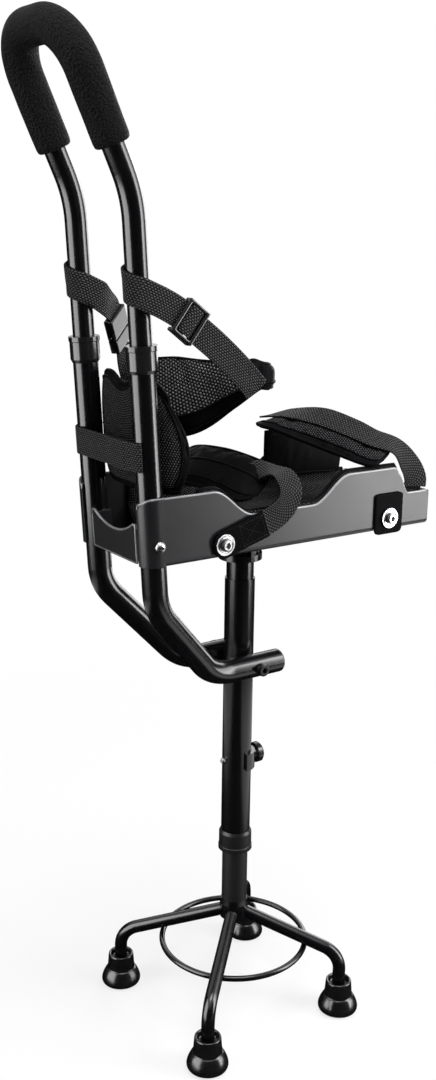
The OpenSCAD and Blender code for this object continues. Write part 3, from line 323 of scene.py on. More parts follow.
gloss_plastic = moulded("gloss black plastic", 0.010, 0.16)
foot_rubber = grained("foot rubber", (60, 4), (0.003,)*2, (0.009,)*2, 0.22, 0.16, 0.0002, 0.35, (700, 2),
                      Specular_IOR_Level=0.55)
HARD = {"black_paint": tube_paint, "tray_paint": tray_paint, "gloss_black": gloss_plastic,
        "plug_plastic": moulded("plain black plastic", 0.016, 0.5), "foot_rubber": foot_rubber,
        "bright_steel": steel("bright plated steel", 0.6, 0.3),
        "black_steel": steel("blackened steel", 0.05, 0.36)}
hard_parts = [part for part in frame["record"]["subparts"] if part["material_slot"] in HARD]
for part in hard_parts:
    paint(part["node"], HARD[part["material_slot"]])
paint("lower_post", post_paint)
paint("post_collar", moulded("satin collar plastic", 0.009, 0.36, 0.3))
print("finished", len(hard_parts), "hard parts")

# %% [markdown]
# ## Finishes of the soft parts
#
# The thigh band is faced with a pebbled spacer mesh, whose bumps sit on a lattice about 2.7 mm apart, and
# most other pads with a finer and darker one. Three waves that cross at sixty degrees make that lattice.
# The webbing is a plain weave, so its ribs shift by half a rib from one column to the next. Both patterns
# lie on the cloth's own UV map, in metres, so that they bend with it. In both, the bump and rib tops are
# painted pale as highlights, and what lies between is painted near black as shade.

# %% Mesh and webbing
def cloth_map(f):
    return f.parts(f.node("ShaderNodeUVMap", uv_map="cloth"), "XY")


def spacer_mesh(name, pitch, dark, pale):
    f = Finish(name, Specular_IOR_Level=0.02, Sheen_Weight=0.01, Sheen_Roughness=0.4)
    u, v = cloth_map(f)
    turn = 2*math.pi/pitch
    waves = [(u*(turn*math.cos(a)) + v*(turn*math.sin(a))).cosine() for a in (0, math.pi/3, 2*math.pi/3)]
    cell = ((waves[0] + waves[1] + waves[2])*0.333 + 0.5)*0.667
    fuzz, worn = f.grain(2200, 2), f.grain(260, 2)
    # Pale bump tops are painted highlights, and the dark gaps between them painted shade.
    f.set(Base_Color=f.tint(dark, pale, cell**1.6*(0.5 + worn) + (fuzz - 0.5)*0.3),
          Roughness=0.86 - 0.2*cell*fuzz, Normal=f.bump(cell + fuzz*0.25, 0.0009, 1.0))
    return f.material


def webbing_weave(name, rib, column, dark, pale, shine):
    f = Finish(name, Specular_IOR_Level=shine, Sheen_Weight=shine/3, Sheen_Roughness=0.35)
    u, v = cloth_map(f)
    strand = v/column
    along = (u/rib + (strand.floor() % 2.0)*0.5)*math.pi
    height = along.sine().size()*(strand*math.pi).sine().size()
    fuzz = f.grain(2600, 2)
    # Pale rib tops are painted highlights, and the dark valleys between them painted shade.
    f.set(Base_Color=f.tint(dark, pale, height**2.2*1.1 + fuzz*0.06),
          Roughness=0.78 - 0.26*height + 0.1*(fuzz - 0.5), Normal=f.bump(height + fuzz*0.15, 0.0009, 1.0))
    return f.material


pad_mesh = spacer_mesh("pad mesh", 0.0027, (0.001, 0.0012), (0.26, 0.266))
fine_mesh = spacer_mesh("fine pad mesh", 0.0021, (0.001, 0.0012), (0.105, 0.109))
webbing = webbing_weave("strap webbing", 0.0030, 0.0019, (0.001, 0.001), (0.088, 0.092), 0.06)
# A finer and much darker copy of the webbing, whose darkness is painted shade on the front strap's sewn end.
shaded_webbing = webbing_weave("tab webbing", 0.0024, 0.0015, (0.001, 0.001), (0.012, 0.013), 0.012)
print("mesh and webbing ready")

# %% Binding, thread and foam
binding = grained("binding cloth", (1500, 2, 0.5), (0.0015, 0.002), (0.0055, 0.006), 0.42, 0.2, 0.0003, 0.4,
                  Specular_IOR_Level=0.01)
thread = grained("sewing thread", (3000, 1), (0.008, 0.009), (0.03, 0.032), 0.55, 0.2, Specular_IOR_Level=0.1)

sponge = Finish("foam skin", Specular_IOR_Level=0.05, Sheen_Weight=0.002)
pores = sponge.node("ShaderNodeTexVoronoi", {"Vector": sponge.place(), "Scale": 520})
dapple = sponge.grain(420, 4, 0.65)
sponge.set(Base_Color=sponge.tint((0.001, 0.001), (0.008, 0.009), dapple), Roughness=0.72 - 0.2*dapple,
           Normal=sponge.bump(pores*0.8 + dapple, 0.0016, 1.0))
print("soft finishes ready")

# %% [markdown]
# ## Paths and shells
#
# Straps and pads follow routes, so they share some helpers: a smooth line through the route's points, the
# ribbon's own axes at each step, and a mesh from points, faces and a UV map. The straps and pads keep that
# map in metres, because the weave has to keep its true size.

# %% Route helpers
POST_X, TUBE_FOOT = 17.9217, -125.5
TRAY, HALF_GAP, TUBE_R, HANDLE_R = 491.0, 48.0, 11.1, 9.525
LEAN = math.radians(3.6)
SLANT = math.tan(LEAN)
UP_TUBE = np.array([-math.sin(LEAN), 0, math.cos(LEAN)])
OUT_TUBE = np.array([math.cos(LEAN), 0, math.sin(LEAN)])
ACROSS = np.array([0, 1, 0])


def tube_axis(side, z):
    return np.array([TUBE_FOOT - SLANT*(z - TRAY), side*HALF_GAP, z])


def metres(points):
    return (np.asarray(points, float) + (POST_X, 0, 0))/1000


def unit(v):
    return v/np.linalg.norm(v, axis=-1, keepdims=True)


def smooth(points, steps):
    p = np.asarray(points, float)
    made = []
    for i in range(len(p) - 1):
        a, b, c, d = p[max(i - 1, 0)], p[i], p[i + 1], p[min(i + 2, len(p) - 1)]
        for t in np.arange(steps)/steps:
            made.append(0.5*(2*b + (c - a)*t + (2*a - 5*b + 4*c - d)*t*t + (3*b - a - 3*c + d)*t**3))
    return np.array(made + [p[-1]])


def headings(points):
    return unit(np.vstack([points[1] - points[0], points[2:] - points[:-2], points[-1] - points[-2]]))


def axes(stations):
    """Spots, across and normal at each station, which is a spot and the way that the face looks."""
    spots, looks = stations[:, :3], stations[:, 3:6]
    ahead = headings(spots)
    normal = unit(looks - ahead*(ahead*looks).sum(1, keepdims=True))
    return spots, np.cross(normal, ahead), normal


def lengths(points):
    return np.concatenate([[0], np.cumsum(np.linalg.norm(np.diff(points, axis=0), axis=1))])


def ease(t):
    return (1 - np.cos(np.pi*np.clip(t, 0, 1)))/2


print("route helpers ready")


# %% Mesh helpers
def make_mesh(name, points, faces, uv, material):
    mesh = bpy.data.meshes.new(name)
    mesh.from_pydata([tuple(p) for p in points], [], [tuple(f) for f in faces])
    layer = mesh.uv_layers.new(name="cloth")
    for loop in mesh.loops:
        layer.data[loop.index].uv = uv[loop.vertex_index]
    built = bmesh.new()
    built.from_mesh(mesh)
    bmesh.ops.recalc_face_normals(built, faces=built.faces)
    built.to_mesh(mesh)
    built.free()
    mesh.materials.append(material)
    mesh.shade_smooth()
    piece = bpy.data.objects.new(name, mesh)
    scene.collection.objects.link(piece)
    return piece


def settle(piece):
    """Keeps what the modifiers make as the piece's own mesh."""
    made = bpy.data.meshes.new_from_object(piece.evaluated_get(bpy.context.evaluated_depsgraph_get()))
    piece.modifiers.clear()
    piece.data = made
    print(piece.name, len(made.polygons), "faces")


def dress(piece, body, slot, *replaced):
    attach(piece, body)
    if replaced:
        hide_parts(*replaced)
    return piece


print("mesh helpers ready")

# %% [markdown]
# ## Turned washers
#
# The strap bolts sit on broad washers, which were turned and plated. A groove runs round each near its rim,
# which the bumps cut and whose colour is darkened as painted shade, and a painted shadow rings the bolt's
# head. Both are rings about the bolt's axis, so one finish measures how far a point is from the nearer bolt
# and draws them there.

# %% Washer finish
BOLT_FRONT, BOLT_REAR, BOLT_H = -63.0, 127.5, 12.5
turned = Finish("turned washer steel", Metallic=1.0)
across_x, up_z = turned.parts(turned.place(), "XZ")
front_x, rear_x = ((x + POST_X)/1000 for x in (BOLT_FRONT, BOLT_REAR))
off_x = across_x - (front_x + (across_x > (front_x + rear_x)/2)*(rear_x - front_x))
off_z = up_z - (TRAY + BOLT_H)/1000
reach = (off_x*off_x + off_z*off_z)**0.5


def ring(radius, width):
    """1 on a circle round the bolt, 0 at width from it, in mm."""
    return (1 - ((reach - radius/1000)/(width/1000)).size()).at_least(0.0)


# The first ring cuts the groove into the bumps and darkens its colour as painted shade; the second is a painted
# shadow round the bolt's head.
groove, bolt_head_shadow = ring(7.6, 0.7), ring(5.3, 1.1)
scratch = turned.grain(900, 2)
turned.set(Base_Color=turned.tint((0.66, 0.67), (0.03, 0.03), groove*0.7 + bolt_head_shadow*0.95),
           Roughness=0.3 + 0.15*(scratch - 0.5), Normal=turned.bump(scratch*0.05 - groove, 0.0005, 0.6))
for name in ("strap_washers", "strap_bolts"):
    paint(name, turned.material)
print("washers finished")

# %% [markdown]
# ## Rubber feet
#
# A rubber ferrule is moulded in one piece: a bell with a rounded sole, and a neck that opens round the leg.
# It is round, so its outline is turned about the leg's axis, and the outline is dense where the rubber
# curves.

# %% Feet
FOOT_H, ROUND_FOOT = 33.0, 56
BELL = [(16, 0), (17.8, 0.4), (19.2, 1.4), (19.9, 3), (20, 4.6), (19.7, 6.4), (19, 8.6), (18.1, 10.8), (17, 13),
        (16, 14.8), (15.2, 16), (14.7, 16.6), (14.3, 16.8), (13.9, 17.3), (13.8, 18), (13.6, 22), (13.2, 27),
        (12.9, 31), (12.7, 32.2), (12.2, 32.8), (11.5, 33), (10.8, 32.8), (10.3, 32), (10.1, 30), (10, 27),
        (7, 26.6)]
FEET = ("front_near_foot", "front_far_foot", "rear_near_foot", "rear_far_foot")
points, faces, uv = [], [], []
for name in FEET:
    low, high = (np.array(corner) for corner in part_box(name))
    stand, start = (low + high)/2, len(points)
    for r, z in BELL:
        for q in range(ROUND_FOOT):
            a = 2*math.pi*q/ROUND_FOOT
            points.append((stand[0] + r/1000*math.cos(a), stand[1] + r/1000*math.sin(a), low[2] + z/1000))
            uv.append((q/ROUND_FOOT, z/FOOT_H))
    faces += ring_faces(len(BELL), ROUND_FOOT, start)
    faces += [tuple(range(first, first + ROUND_FOOT)) for first in (start, len(points) - ROUND_FOOT)]
dress(make_mesh("rubber_feet", points, faces, uv, foot_rubber), "base", "foot_rubber", *FEET)
print("feet", len(faces), "faces")

# %% [markdown]
# ## Webbing straps
#
# Every strap is 25 mm webbing. A tape is swept along its route with rounded selvedges, and its ends are cut
# round where a bolt holds them. Where the strap is folded back and sewn, its upper face steps up by a
# layer.

# %% Tape
WEB_T, WEB_W = 1.8, 25.0
STRAP_Z, THIGH_Z = TRAY + 233, TRAY + 162
HOLD_R = HANDLE_R + 0.91 + WEB_T/2


def held(spots, side, rise, share):
    """Moves points of the tape onto the handle tube on that side, by a share of the way."""
    hub = tube_axis(side, STRAP_Z)
    hub = hub + np.outer((spots - hub) @ UP_TUBE, UP_TUBE)
    return spots + (hub + unit(spots - hub)*(HOLD_R + rise)[:, None] - spots)*share


def tape(name, stations, body, node, ends=(0, 0), layers=(), round_tube=None, width=WEB_W, material=webbing,
         slot="webbing", dark_from=None):
    """ends are the radii of the end corners, layers (from, to, height) where more webbing lies on it, in mm.
    round_tube is (side, rows bent to that tube). Past dark_from it takes a finer and much darker copy of the
    webbing, whose darkness is painted shade."""
    spots, across, normal = axes(np.asarray(stations, float))
    far = lengths(spots)
    half, t = width/2, WEB_T/2
    rim = [(half - t*(1 - math.cos(a)), t*math.sin(a)) for a in np.radians((-60, -20, 20, 60))]
    face = [(x, t) for x in np.linspace(half - 2, 2 - half, 9)]
    x, z = np.array(rim + face + [(-x, z) for x, z in reversed(rim)] + [(-x, -z) for x, z in face]).T
    trims = [r - np.sqrt(r*r - np.maximum(0, r - d)**2) for r, d in zip(ends, (far, far[-1] - far))]
    wide = np.outer(1 - np.maximum(*trims)/half, x)
    lift = 0*far
    for a, b, high in layers:
        inside = np.minimum(far - a, b - far)
        lift = np.maximum(lift, high*np.minimum(1, inside/1.5 + 0.3)*(inside >= 0))
    rise = z + np.outer(lift, z > 0)
    points = spots[:, None] + across[:, None]*wide[..., None] + normal[:, None]*rise[..., None]
    side, rows = round_tube or (0, 0)
    for i in range(rows):
        points[i] = held(points[i], side, rise[i], min(1, (rows - i)/5))
    n, uv = len(x), np.stack([far[:, None] + 0*x, wide + half], -1)/1000
    faces = ring_faces(len(far), n) + [tuple(range(n)), tuple(range((len(far) - 1)*n, len(far)*n))]
    piece = make_mesh(name, metres(points).reshape(-1, 3), faces, uv.reshape(-1, 2), material)
    dress(piece, body, slot, node)
    # Past dark_from the strap takes the darker copy of the webbing: painted shade on its lower end.
    if dark_from:
        piece.data.materials.append(shaded_webbing)
        for face in piece.data.polygons:
            face.material_index = int(far[min(face.vertices)//n] >= dark_from)
    print(name, round(far[-1]), "mm long")
    return spots, across, normal, far


print("webbing", WEB_W, "mm wide and", WEB_T, "mm thick")

# %% Routes of the thigh straps
TUBE_X = tube_axis(0, STRAP_Z)[0]
NEAR_Y, FAR_Y = -HALF_GAP - HOLD_R, HALF_GAP + HOLD_R
DROP = STRAP_Z - THIGH_Z
LOOP_FALL = 0.32
TURNS = np.arange(-150, 76, 7.5)
near_run = np.array([
    [14, -2.6, -0.19*DROP, 0, -1, 0],
    [30, -2.8, -0.31*DROP, 0, -1, 0],
    [49, -3, -0.515*DROP, 0, -1, 0],
    [67, -3.6, -0.71*DROP, 0, -1, 0],
    [86, -4.4, -0.94*DROP, 0, -1, 0],
    [103, -4.5, -DROP - 12, 0, -1, 0],
    [109, -3, -DROP - 18.5, 0, -1, -0.3]]) + (TUBE_X, NEAR_Y, STRAP_Z, 0, 0, 0)
buckle_a = np.array([TUBE_X + 36, FAR_Y - 8, STRAP_Z - 0.46*DROP])
buckle_b = np.array([TUBE_X + 46, FAR_Y - 1, STRAP_Z - 0.77*DROP])
buckle_d = unit(buckle_b - buckle_a)
aside = np.array([-0.57, 0.82, 0])
far_run = np.array([
    [TUBE_X + 11, HALF_GAP - HOLD_R - 2.6, STRAP_Z - 0.18*DROP, 0, -1, 0],
    [TUBE_X + 22, HALF_GAP - 0.75*HOLD_R, STRAP_Z - 0.28*DROP, 0.5, -0.85, 0],
    [*(buckle_a - buckle_d*7), *-aside],
    [*buckle_a, *-aside]])
tail_run = np.array([
    [*buckle_b, *aside],
    [*(buckle_b + buckle_d*7), *aside],
    [TUBE_X + 57, FAR_Y - 0.9, THIGH_Z - 10, 0.1, 1, 0],
    [TUBE_X + 63, FAR_Y - 2.6, THIGH_Z - 32, 0.3, 1, 0]])


def loop(side, degrees):
    a = math.radians(degrees)
    n = -ACROSS*math.sin(a) - OUT_TUBE*math.cos(a)
    fall = UP_TUBE*LOOP_FALL*HOLD_R*math.radians(degrees + 20)
    return np.concatenate([tube_axis(side, STRAP_Z) + n*HOLD_R - fall, n])


def looped(side, run):
    return np.vstack([[loop(side, a) for a in TURNS], smooth(run, 16)])


print("the loop round a tube is", round(HOLD_R*math.radians(TURNS[-1] - TURNS[0])), "mm long")

# %% Thigh straps
BULGE, BULGE_HALF = 4.0, 6.4
near_way = looped(-1, near_run)
slider_spot = (near_run[1, :3] + near_run[2, :3])/2
slider_d = unit(near_run[2, :3] - near_run[1, :3])
from_slider = (near_way[:, :3] - slider_spot) @ slider_d
bulge = BULGE*np.exp(-(from_slider/BULGE_HALF)**6) - 0.1
near_way[:, :3] += near_way[:, 3:]*bulge[:, None]*(near_way[:, :1] > TUBE_X + 12)
near_lines = tape("near_thigh_strap", near_way, "handle", "near_strap", ends=(0, 3), layers=((0, 21, 0.8),),
                  round_tube=(-1, len(TURNS)))
tape("far_thigh_strap", looped(1, far_run), "handle", "far_strap", layers=((0, 24, 0.8),),
     round_tube=(1, len(TURNS)))
tail_lines = tape("far_strap_end", smooth(tail_run, 10), "handle", "far_strap_tail", ends=(0, 3))

# %% Knee pad strap
HUG_R = TUBE_R + 0.35 + WEB_T/2
STRAP_RISE = 95.0


def on_tube(x, y, z, *look):
    """A spot, or a station where a look is given, in axes that lean with the tubes."""
    spot = tube_axis(0, TRAY) + OUT_TUBE*x + ACROSS*y + UP_TUBE*z
    return np.concatenate([spot, look[0]*OUT_TUBE + look[1]*ACROSS]) if look else spot


def hug(side, degrees):
    out, along = math.cos(math.radians(degrees)), math.sin(math.radians(degrees))
    return on_tube(-HUG_R*out, side*(HALF_GAP + HUG_R*along), STRAP_RISE, -out, side*along)


knee_route = np.vstack([[hug(1, a) for a in np.arange(112.5, -1, -7.5)],
                        [hug(1, 0)*(1 - t) + hug(-1, 0)*t for t in np.linspace(0.02, 0.98, 72)],
                        [hug(-1, a) for a in np.arange(0, 38, 7.5)]])
tape("knee_pad_strap", knee_route, "frame", "lower_strap", layers=((82, 107, 1.7), (107, 114, 0.7)))

# %% Routes of the calf straps
WALL_IN, WALL_OUT, CUSHION_SIDE = 59.45, 61.45, 59.1
WING_Z, REAR_Z, BOLT_Z = TRAY + 72, TRAY + 94, TRAY + BOLT_H
TAB_Y = -WALL_OUT - 0.35 - WEB_T/2
CALF_T = 9.0
RIM_X, RIM_Y, RIM_Z = 166.5, 3.5 - CUSHION_SIDE, TRAY + 36
tilt = (-0.5, -0.2, 0.87)
wing_run = np.array([
    [-54, WALL_IN - 14, -18, -0.3, 0.7, 0.6],
    [-51, WALL_IN - 18, -10, -0.4, 0.4, 0.8],
    [-44, WALL_IN - 32, -6, *tilt],
    [-35, 4, -5, *tilt],
    [-27, -18, -8, *tilt],
    [-20, 20 - WALL_IN, -13, *tilt],
    [-15, 10 - WALL_IN, -18, -0.4, -0.4, 0.8]]) + (0, 0, WING_Z, 0, 0, 0)
rear_run = np.array([
    [62, CUSHION_SIDE - 4, -2, 0, 0.2, 1],
    [76, CUSHION_SIDE - 26, 1, -0.25, 0, 1],
    [91, 4, -1, *tilt],
    [106, -22, -9, *tilt],
    [118, 19 - CUSHION_SIDE, -17, -0.3, -0.4, 0.87],
    [127, 5 - CUSHION_SIDE, -24, -0.1, -0.4, 0.9]]) + (0, 0, REAR_Z, 0, 0, 0)


def on_pad(run, i, sideways, sunk=0.0):
    """A station of a strap that lies on the pad of that run, sideways of its middle."""
    spots, across, normal = axes(run)
    rise = CALF_T/2 + WEB_T/2 + 0.7 + sunk
    return [*(spots[i] + across[i]*sideways + normal[i]*rise), *normal[i]]


front_strap_run = np.array([
    on_pad(wing_run, 5, 6, -5.4),
    on_pad(wing_run, 5, 12, -2.6),
    [-1, 9 - WALL_IN, WING_Z - 3, 0.1, -0.35, 0.93],
    [5, -WALL_IN, WING_Z - 8, 0.1, -0.85, 0.5],
    [7, TAB_Y - 2.5, WING_Z - 20, 0, -1, 0.1],
    [1, TAB_Y - 3, WING_Z - 33, 0, -1, 0],
    [-14, TAB_Y - 1.5, BOLT_Z + 16, 0, -1, 0],
    [-37, TAB_Y, BOLT_Z + 8, 0, -1, 0],
    [BOLT_FRONT, TAB_Y, BOLT_Z, 0, -1, 0],
    [BOLT_FRONT - 11, TAB_Y, BOLT_Z - 3, 0, -1, 0]])
rear_strap_run = np.array([on_pad(rear_run, i, 8 if i == 0 else 9) for i in range(5)] + [
    [143, 7 - CUSHION_SIDE, REAR_Z - 16, -0.1, -0.6, 0.8],
    [158, 3 - CUSHION_SIDE, REAR_Z - 34, -0.15, -0.9, 0.4],
    [RIM_X, RIM_Y, (REAR_Z - 34)*0.4 + RIM_Z*0.6, -0.2, -1, 0.1],
    [RIM_X, RIM_Y, RIM_Z + 1.05, -0.2, -1, 0]])
print("calf routes of", len(front_strap_run), "and", len(rear_strap_run), "stations")

# %% Calf straps and the bolt tab
SEWN, TAB_W = 58, 35
front_way = smooth(front_strap_run, 14)
front_end = lengths(front_way[:, :3])[-1]
front_lines = tape("front_calf_strap", front_way, "frame", "front_strap", ends=(2, 11),
                   layers=((front_end - SEWN, front_end, 1.5),), dark_from=front_end - SEWN)
rear_lines = tape("rear_calf_strap", smooth(rear_strap_run, 14), "frame", "rear_strap", ends=(2, 0))
tab_route = [[BOLT_REAR, TAB_Y, z, 0, -1, 0] for z in np.linspace(RIM_Z - 0.1, BOLT_Z - 15.5, 40)]
tape("rear_bolt_tab", tab_route, "frame", "rear_tab", ends=(3, 5), width=TAB_W, material=binding,
     slot="pad_fabric")

# %% [markdown]
# ## Slider and buckle
#
# The slider on the near strap and the far strap's buckle are injection moulded, so no edge on them is
# sharp. Each is put together from blocks in its own axes. A voxel remesh joins the blocks into one skin,
# and smoothing then rounds every corner and fillet, as the mould's draft and radii do.

# %% Moulded form
BOX_FACES = ((0, 1, 3, 2), (4, 6, 7, 5), (0, 4, 5, 1), (2, 3, 7, 6), (0, 2, 6, 4), (1, 5, 7, 3))


def moulded_form(name, spot, d, n, blocks, voxel, node, material):
    """blocks are (lowest, highest) corners along d, across it, and along n, in mm from spot."""
    d = unit(d)
    n = unit(n - d*(d @ n))
    w = np.cross(n, d)
    points, faces = [], []
    for block in blocks:
        faces += [tuple(len(points) + k for k in face) for face in BOX_FACES]
        xs, ys, zs = zip(*block)
        points += [spot + d*x + w*y + n*z for x in xs for y in ys for z in zs]
    piece = make_mesh(name, metres(points), faces, np.zeros((len(points), 2)), material)
    skin = piece.modifiers.new("skin", "REMESH")
    skin.mode, skin.voxel_size, skin.use_smooth_shade = "VOXEL", voxel/1000, True
    ease_off = piece.modifiers.new("radii", "SMOOTH")
    ease_off.factor, ease_off.iterations = 0.5, 7
    settle(piece)
    piece.data.shade_smooth()
    dress(piece, "handle", "gloss_black", node)


# %% Slider
OVER, BAR, SLIDE, WIDE, RAIL, CROSS = 1.25, 3.0, 11.5, 31.7, 1.5, 1.6
HALF, TOP = WIDE/2, OVER + BAR
blocks = [((-SLIDE, y - RAIL, -TOP), (SLIDE, y + RAIL, TOP)) for y in (RAIL - HALF, HALF - RAIL)]
blocks += [((x - CROSS, -HALF, OVER), (x + CROSS, HALF, TOP)) for x in (CROSS - SLIDE, SLIDE - CROSS)]
blocks += [((-3, -HALF, -TOP), (3, HALF, -OVER))]
moulded_form("strap_slider", slider_spot, slider_d, -1.0*ACROSS, blocks, 0.55, "near_slider", gloss_plastic)

# %% Buckle
BUCKLE_LEN = float(np.linalg.norm(buckle_b - buckle_a))
HALF_W, HALF_T, LIP, GAP = 15.5, 4.0, 4.0, 0.4
buckle_plastic = moulded("buckle plastic", 0.006, 0.13, 0.25)
PART = 0.6*BUCKLE_LEN


def sleeve(start, end, side_end):
    """Four walls, 2 mm thick, round a flat hollow. The two narrow ones may stop short."""
    walls = [((start, -HALF_W, z - 1), (end, HALF_W, z + 1)) for z in (1 - HALF_T, HALF_T - 1)]
    return walls + [((start, y - 1, -HALF_T), (side_end, y + 1, HALF_T)) for y in (1 - HALF_W, HALF_W - 1)]


shell = sleeve(-LIP, PART, PART - 6) + [((-LIP, -HALF_W, HALF_T - 1.5), (-1, HALF_W, HALF_T))]
clip = sleeve(PART + GAP, BUCKLE_LEN + LIP, BUCKLE_LEN + LIP)
clip += [((PART + GAP, -HALF_W, -HALF_T), (PART + 4, HALF_W, HALF_T))]
clip += [((4, y - 2, -1.5), (PART + 2, y + 2, 1.5)) for y in (-11, 0, 11)]
for name, blocks in (("buckle_socket", shell), ("buckle_clip", clip)):
    moulded_form(name, buckle_a, buckle_d, aside, blocks, 0.6, f"far_{name}", buckle_plastic)

# %% [markdown]
# ## Trees for piping and stitches
#
# A bound edge and a row of stitches both follow a line, so Geometry Nodes make them. The line is a mesh of
# edges. One tree sweeps a round section along it for the piping, and the other cuts it into equal steps and
# lays one small stitch on each. The result is kept as a plain mesh on the body that it moves with.

# %% Piping and stitch trees
def line_tree(name, sizes):
    group = bpy.data.node_groups.new(name, "GeometryNodeTree")
    for way in ("OUTPUT", "INPUT"):
        group.interface.new_socket("Geometry", in_out=way, socket_type="NodeSocketGeometry")
    for label in sizes:
        group.interface.new_socket(label, in_out="INPUT", socket_type="NodeSocketFloat")
    tree = Tree(group)
    given = {s.name: Sock(tree, s) for s in group.nodes.new("NodeGroupInput").outputs if s.name}
    return tree, given, tree.node("GeometryNodeMeshToCurve", {"Mesh": given["Geometry"]})


def close_tree(tree, shape, material):
    whole = tree.node("GeometryNodeRealizeInstances", {"Geometry": shape})
    whole = tree.node("GeometryNodeSetShadeSmooth", {"Geometry": whole})
    whole = tree.node("GeometryNodeSetMaterial", {"Geometry": whole, "Material": material})
    tree.plug(tree.tree.nodes.new("NodeGroupOutput").inputs["Geometry"], whole)
    return tree.tree


def piping_tree(name, material):
    tree, given, curve = line_tree(name, ["Radius"])
    section = {"Resolution": 8, "Radius": given["Radius"]}
    circle = tree.node("GeometryNodeCurvePrimitiveCircle", section, mode="RADIUS")
    swept = {"Curve": curve, "Profile Curve": circle, "Fill Caps": True}
    return close_tree(tree, tree.node("GeometryNodeCurveToMesh", swept), material)


def stitch_tree(name, material):
    tree, given, curve = line_tree(name, ["Pitch", "Long", "Thick"])
    steps = tree.node("GeometryNodeResampleCurve", {"Curve": curve, "Length": given["Pitch"]}, mode="LENGTH")
    bead = tree.node("GeometryNodeMeshUVSphere", {"Segments": 6, "Rings": 5, "Radius": 0.5})
    size = tree.node("ShaderNodeCombineXYZ", {"X": given["Long"], "Y": given["Thick"], "Z": given["Thick"]})
    ahead = {"Vector": tree.node("GeometryNodeInputTangent")}
    way = tree.node("FunctionNodeAlignRotationToVector", ahead, axis="X")
    laid = {"Points": steps, "Instance": bead, "Rotation": way, "Scale": size}
    return close_tree(tree, tree.node("GeometryNodeInstanceOnPoints", laid), material)


edge_binding, sewing = piping_tree("edge binding", binding), stitch_tree("stitch row", thread)
print("trees of", len(edge_binding.nodes), "and", len(sewing.nodes), "nodes")


# %% Lines that the trees follow
def follow(name, tree, rows, body, slot, **sizes):
    """rows are (points in metres, closed) pairs, and sizes are the tree's inputs, in mm."""
    points, edges = [], []
    for row, closed in rows:
        b, k = len(points), len(row)
        points += [tuple(p) for p in row]
        edges += [(b + i, b + i + 1) for i in range(k - 1)] + ([(b + k - 1, b)] if closed else [])
    line = bpy.data.meshes.new(name)
    line.from_pydata(points, edges, [])
    piece = bpy.data.objects.new(name, line)
    scene.collection.objects.link(piece)
    run = piece.modifiers.new("run", "NODES")
    run.node_group = tree
    for item in tree.interface.items_tree:
        if item.in_out == "INPUT" and item.name in sizes:
            run[item.identifier] = sizes[item.name]/1000
    settle(piece)
    dress(piece, body, slot)


# %% [markdown]
# ## Padded pieces
#
# A pad on the real crutch is two pieces of cloth sewn together at the edge over a sheet of foam. Each pad
# here is a closed shell of two grids. Cloth simulation with a little air pressure and slightly oversize
# cloth swells it between its pinned seams, and how far a point may move is capped so that it stays clear of
# the straps.

# %% Pad shell
def pad_shell(name, front, back, material):
    n, m = front.shape[:2]
    b = n*m
    at = np.arange(b).reshape(n, m)
    edge = np.concatenate([at[:, 0], at[-1, 1:], at[-2::-1, -1], at[0, -2:0:-1]])
    faces = []
    for a in at[:-1, :-1].ravel():
        faces += [(a, a + 1, a + m + 1, a + m), (b + a, b + a + m, b + a + m + 1, b + a + 1)]
    faces += [(p, q, b + q, b + p) for p, q in zip(edge, np.roll(edge, -1))]
    along = np.mean([lengths(front[:, j]) for j in (m//4, m//2, 3*m//4)], axis=0)
    over = np.array([lengths(row) - lengths(row)[-1]/2 for row in front])
    one = np.stack([np.repeat(along[:, None], m, 1), over], -1).reshape(-1, 2)/1000
    points = metres(np.concatenate([front, back]).reshape(-1, 3))
    return make_mesh(name, points, faces, np.vstack([one, one + (0.5, 0)]), material), edge


# %% Swelling
PRESSURE, SPARE, FRAMES = 4.0, 0.03, 18


def coordinates(piece):
    flat = np.zeros(len(piece.data.vertices)*3)
    piece.data.vertices.foreach_get("co", flat)
    return flat.reshape(-1, 3)


def puff(piece, pinned, cap):
    """cap is the most that a point moves, in mm."""
    start = coordinates(piece)
    seam = piece.vertex_groups.new(name="seam")
    seam.add([int(i) for i in pinned], 1.0, "REPLACE")
    cloth = piece.modifiers.new("cloth", "CLOTH")
    s = cloth.settings
    s.vertex_group_mass, s.use_pressure, s.uniform_pressure_force = "seam", True, PRESSURE
    s.effector_weights.gravity, s.shrink_min, s.bending_stiffness = 0, -SPARE, 0.3
    cloth.collision_settings.use_collision = False
    for step in range(1, FRAMES + 1):
        scene.frame_set(step)
    move = coordinates(piece.evaluated_get(bpy.context.evaluated_depsgraph_get())) - start
    far = np.linalg.norm(move, axis=1, keepdims=True)
    piece.modifiers.remove(cloth)
    piece.vertex_groups.clear()
    scene.frame_set(1)
    capped = start + move*np.minimum(1, cap/1000/np.maximum(far, 1e-9))
    piece.data.vertices.foreach_set("co", capped.ravel())
    piece.data.update()
    print(piece.name, "swelled by", round(float(np.minimum(far, cap/1000).mean())*1000, 2), "mm on average")


# %% Pads from grids
EDGE_T, COLUMNS = 2.0, 20


def spread(n):
    """n steps from 0 to 1, closer together at both ends."""
    return (1 - np.cos(np.pi*np.arange(n + 1)/n))/2


def crown(w):
    """A pad's height, from 0 at w = -1 to 1 in the middle and back to 0."""
    return np.sqrt(np.maximum(0, 1 - np.abs(w)**3))


def band_grids(stations, halves, thick, slim=0.85):
    """A crowned band along a route; slim leaves room for the cloth to swell."""
    spots, across, normal = axes(stations)
    w = 2*spread(COLUMNS) - 1
    grow = normal[:, None]*(EDGE_T + np.outer(thick*slim - EDGE_T, crown(w)))[..., None]/2
    middle = spots[:, None] + across[:, None]*np.outer(halves, w)[..., None]
    return middle + grow, middle - grow


def round_tip(u, share):
    return np.sqrt(np.maximum(0.06, 1 - np.maximum(0, (u - 1 + share)/share)**2))


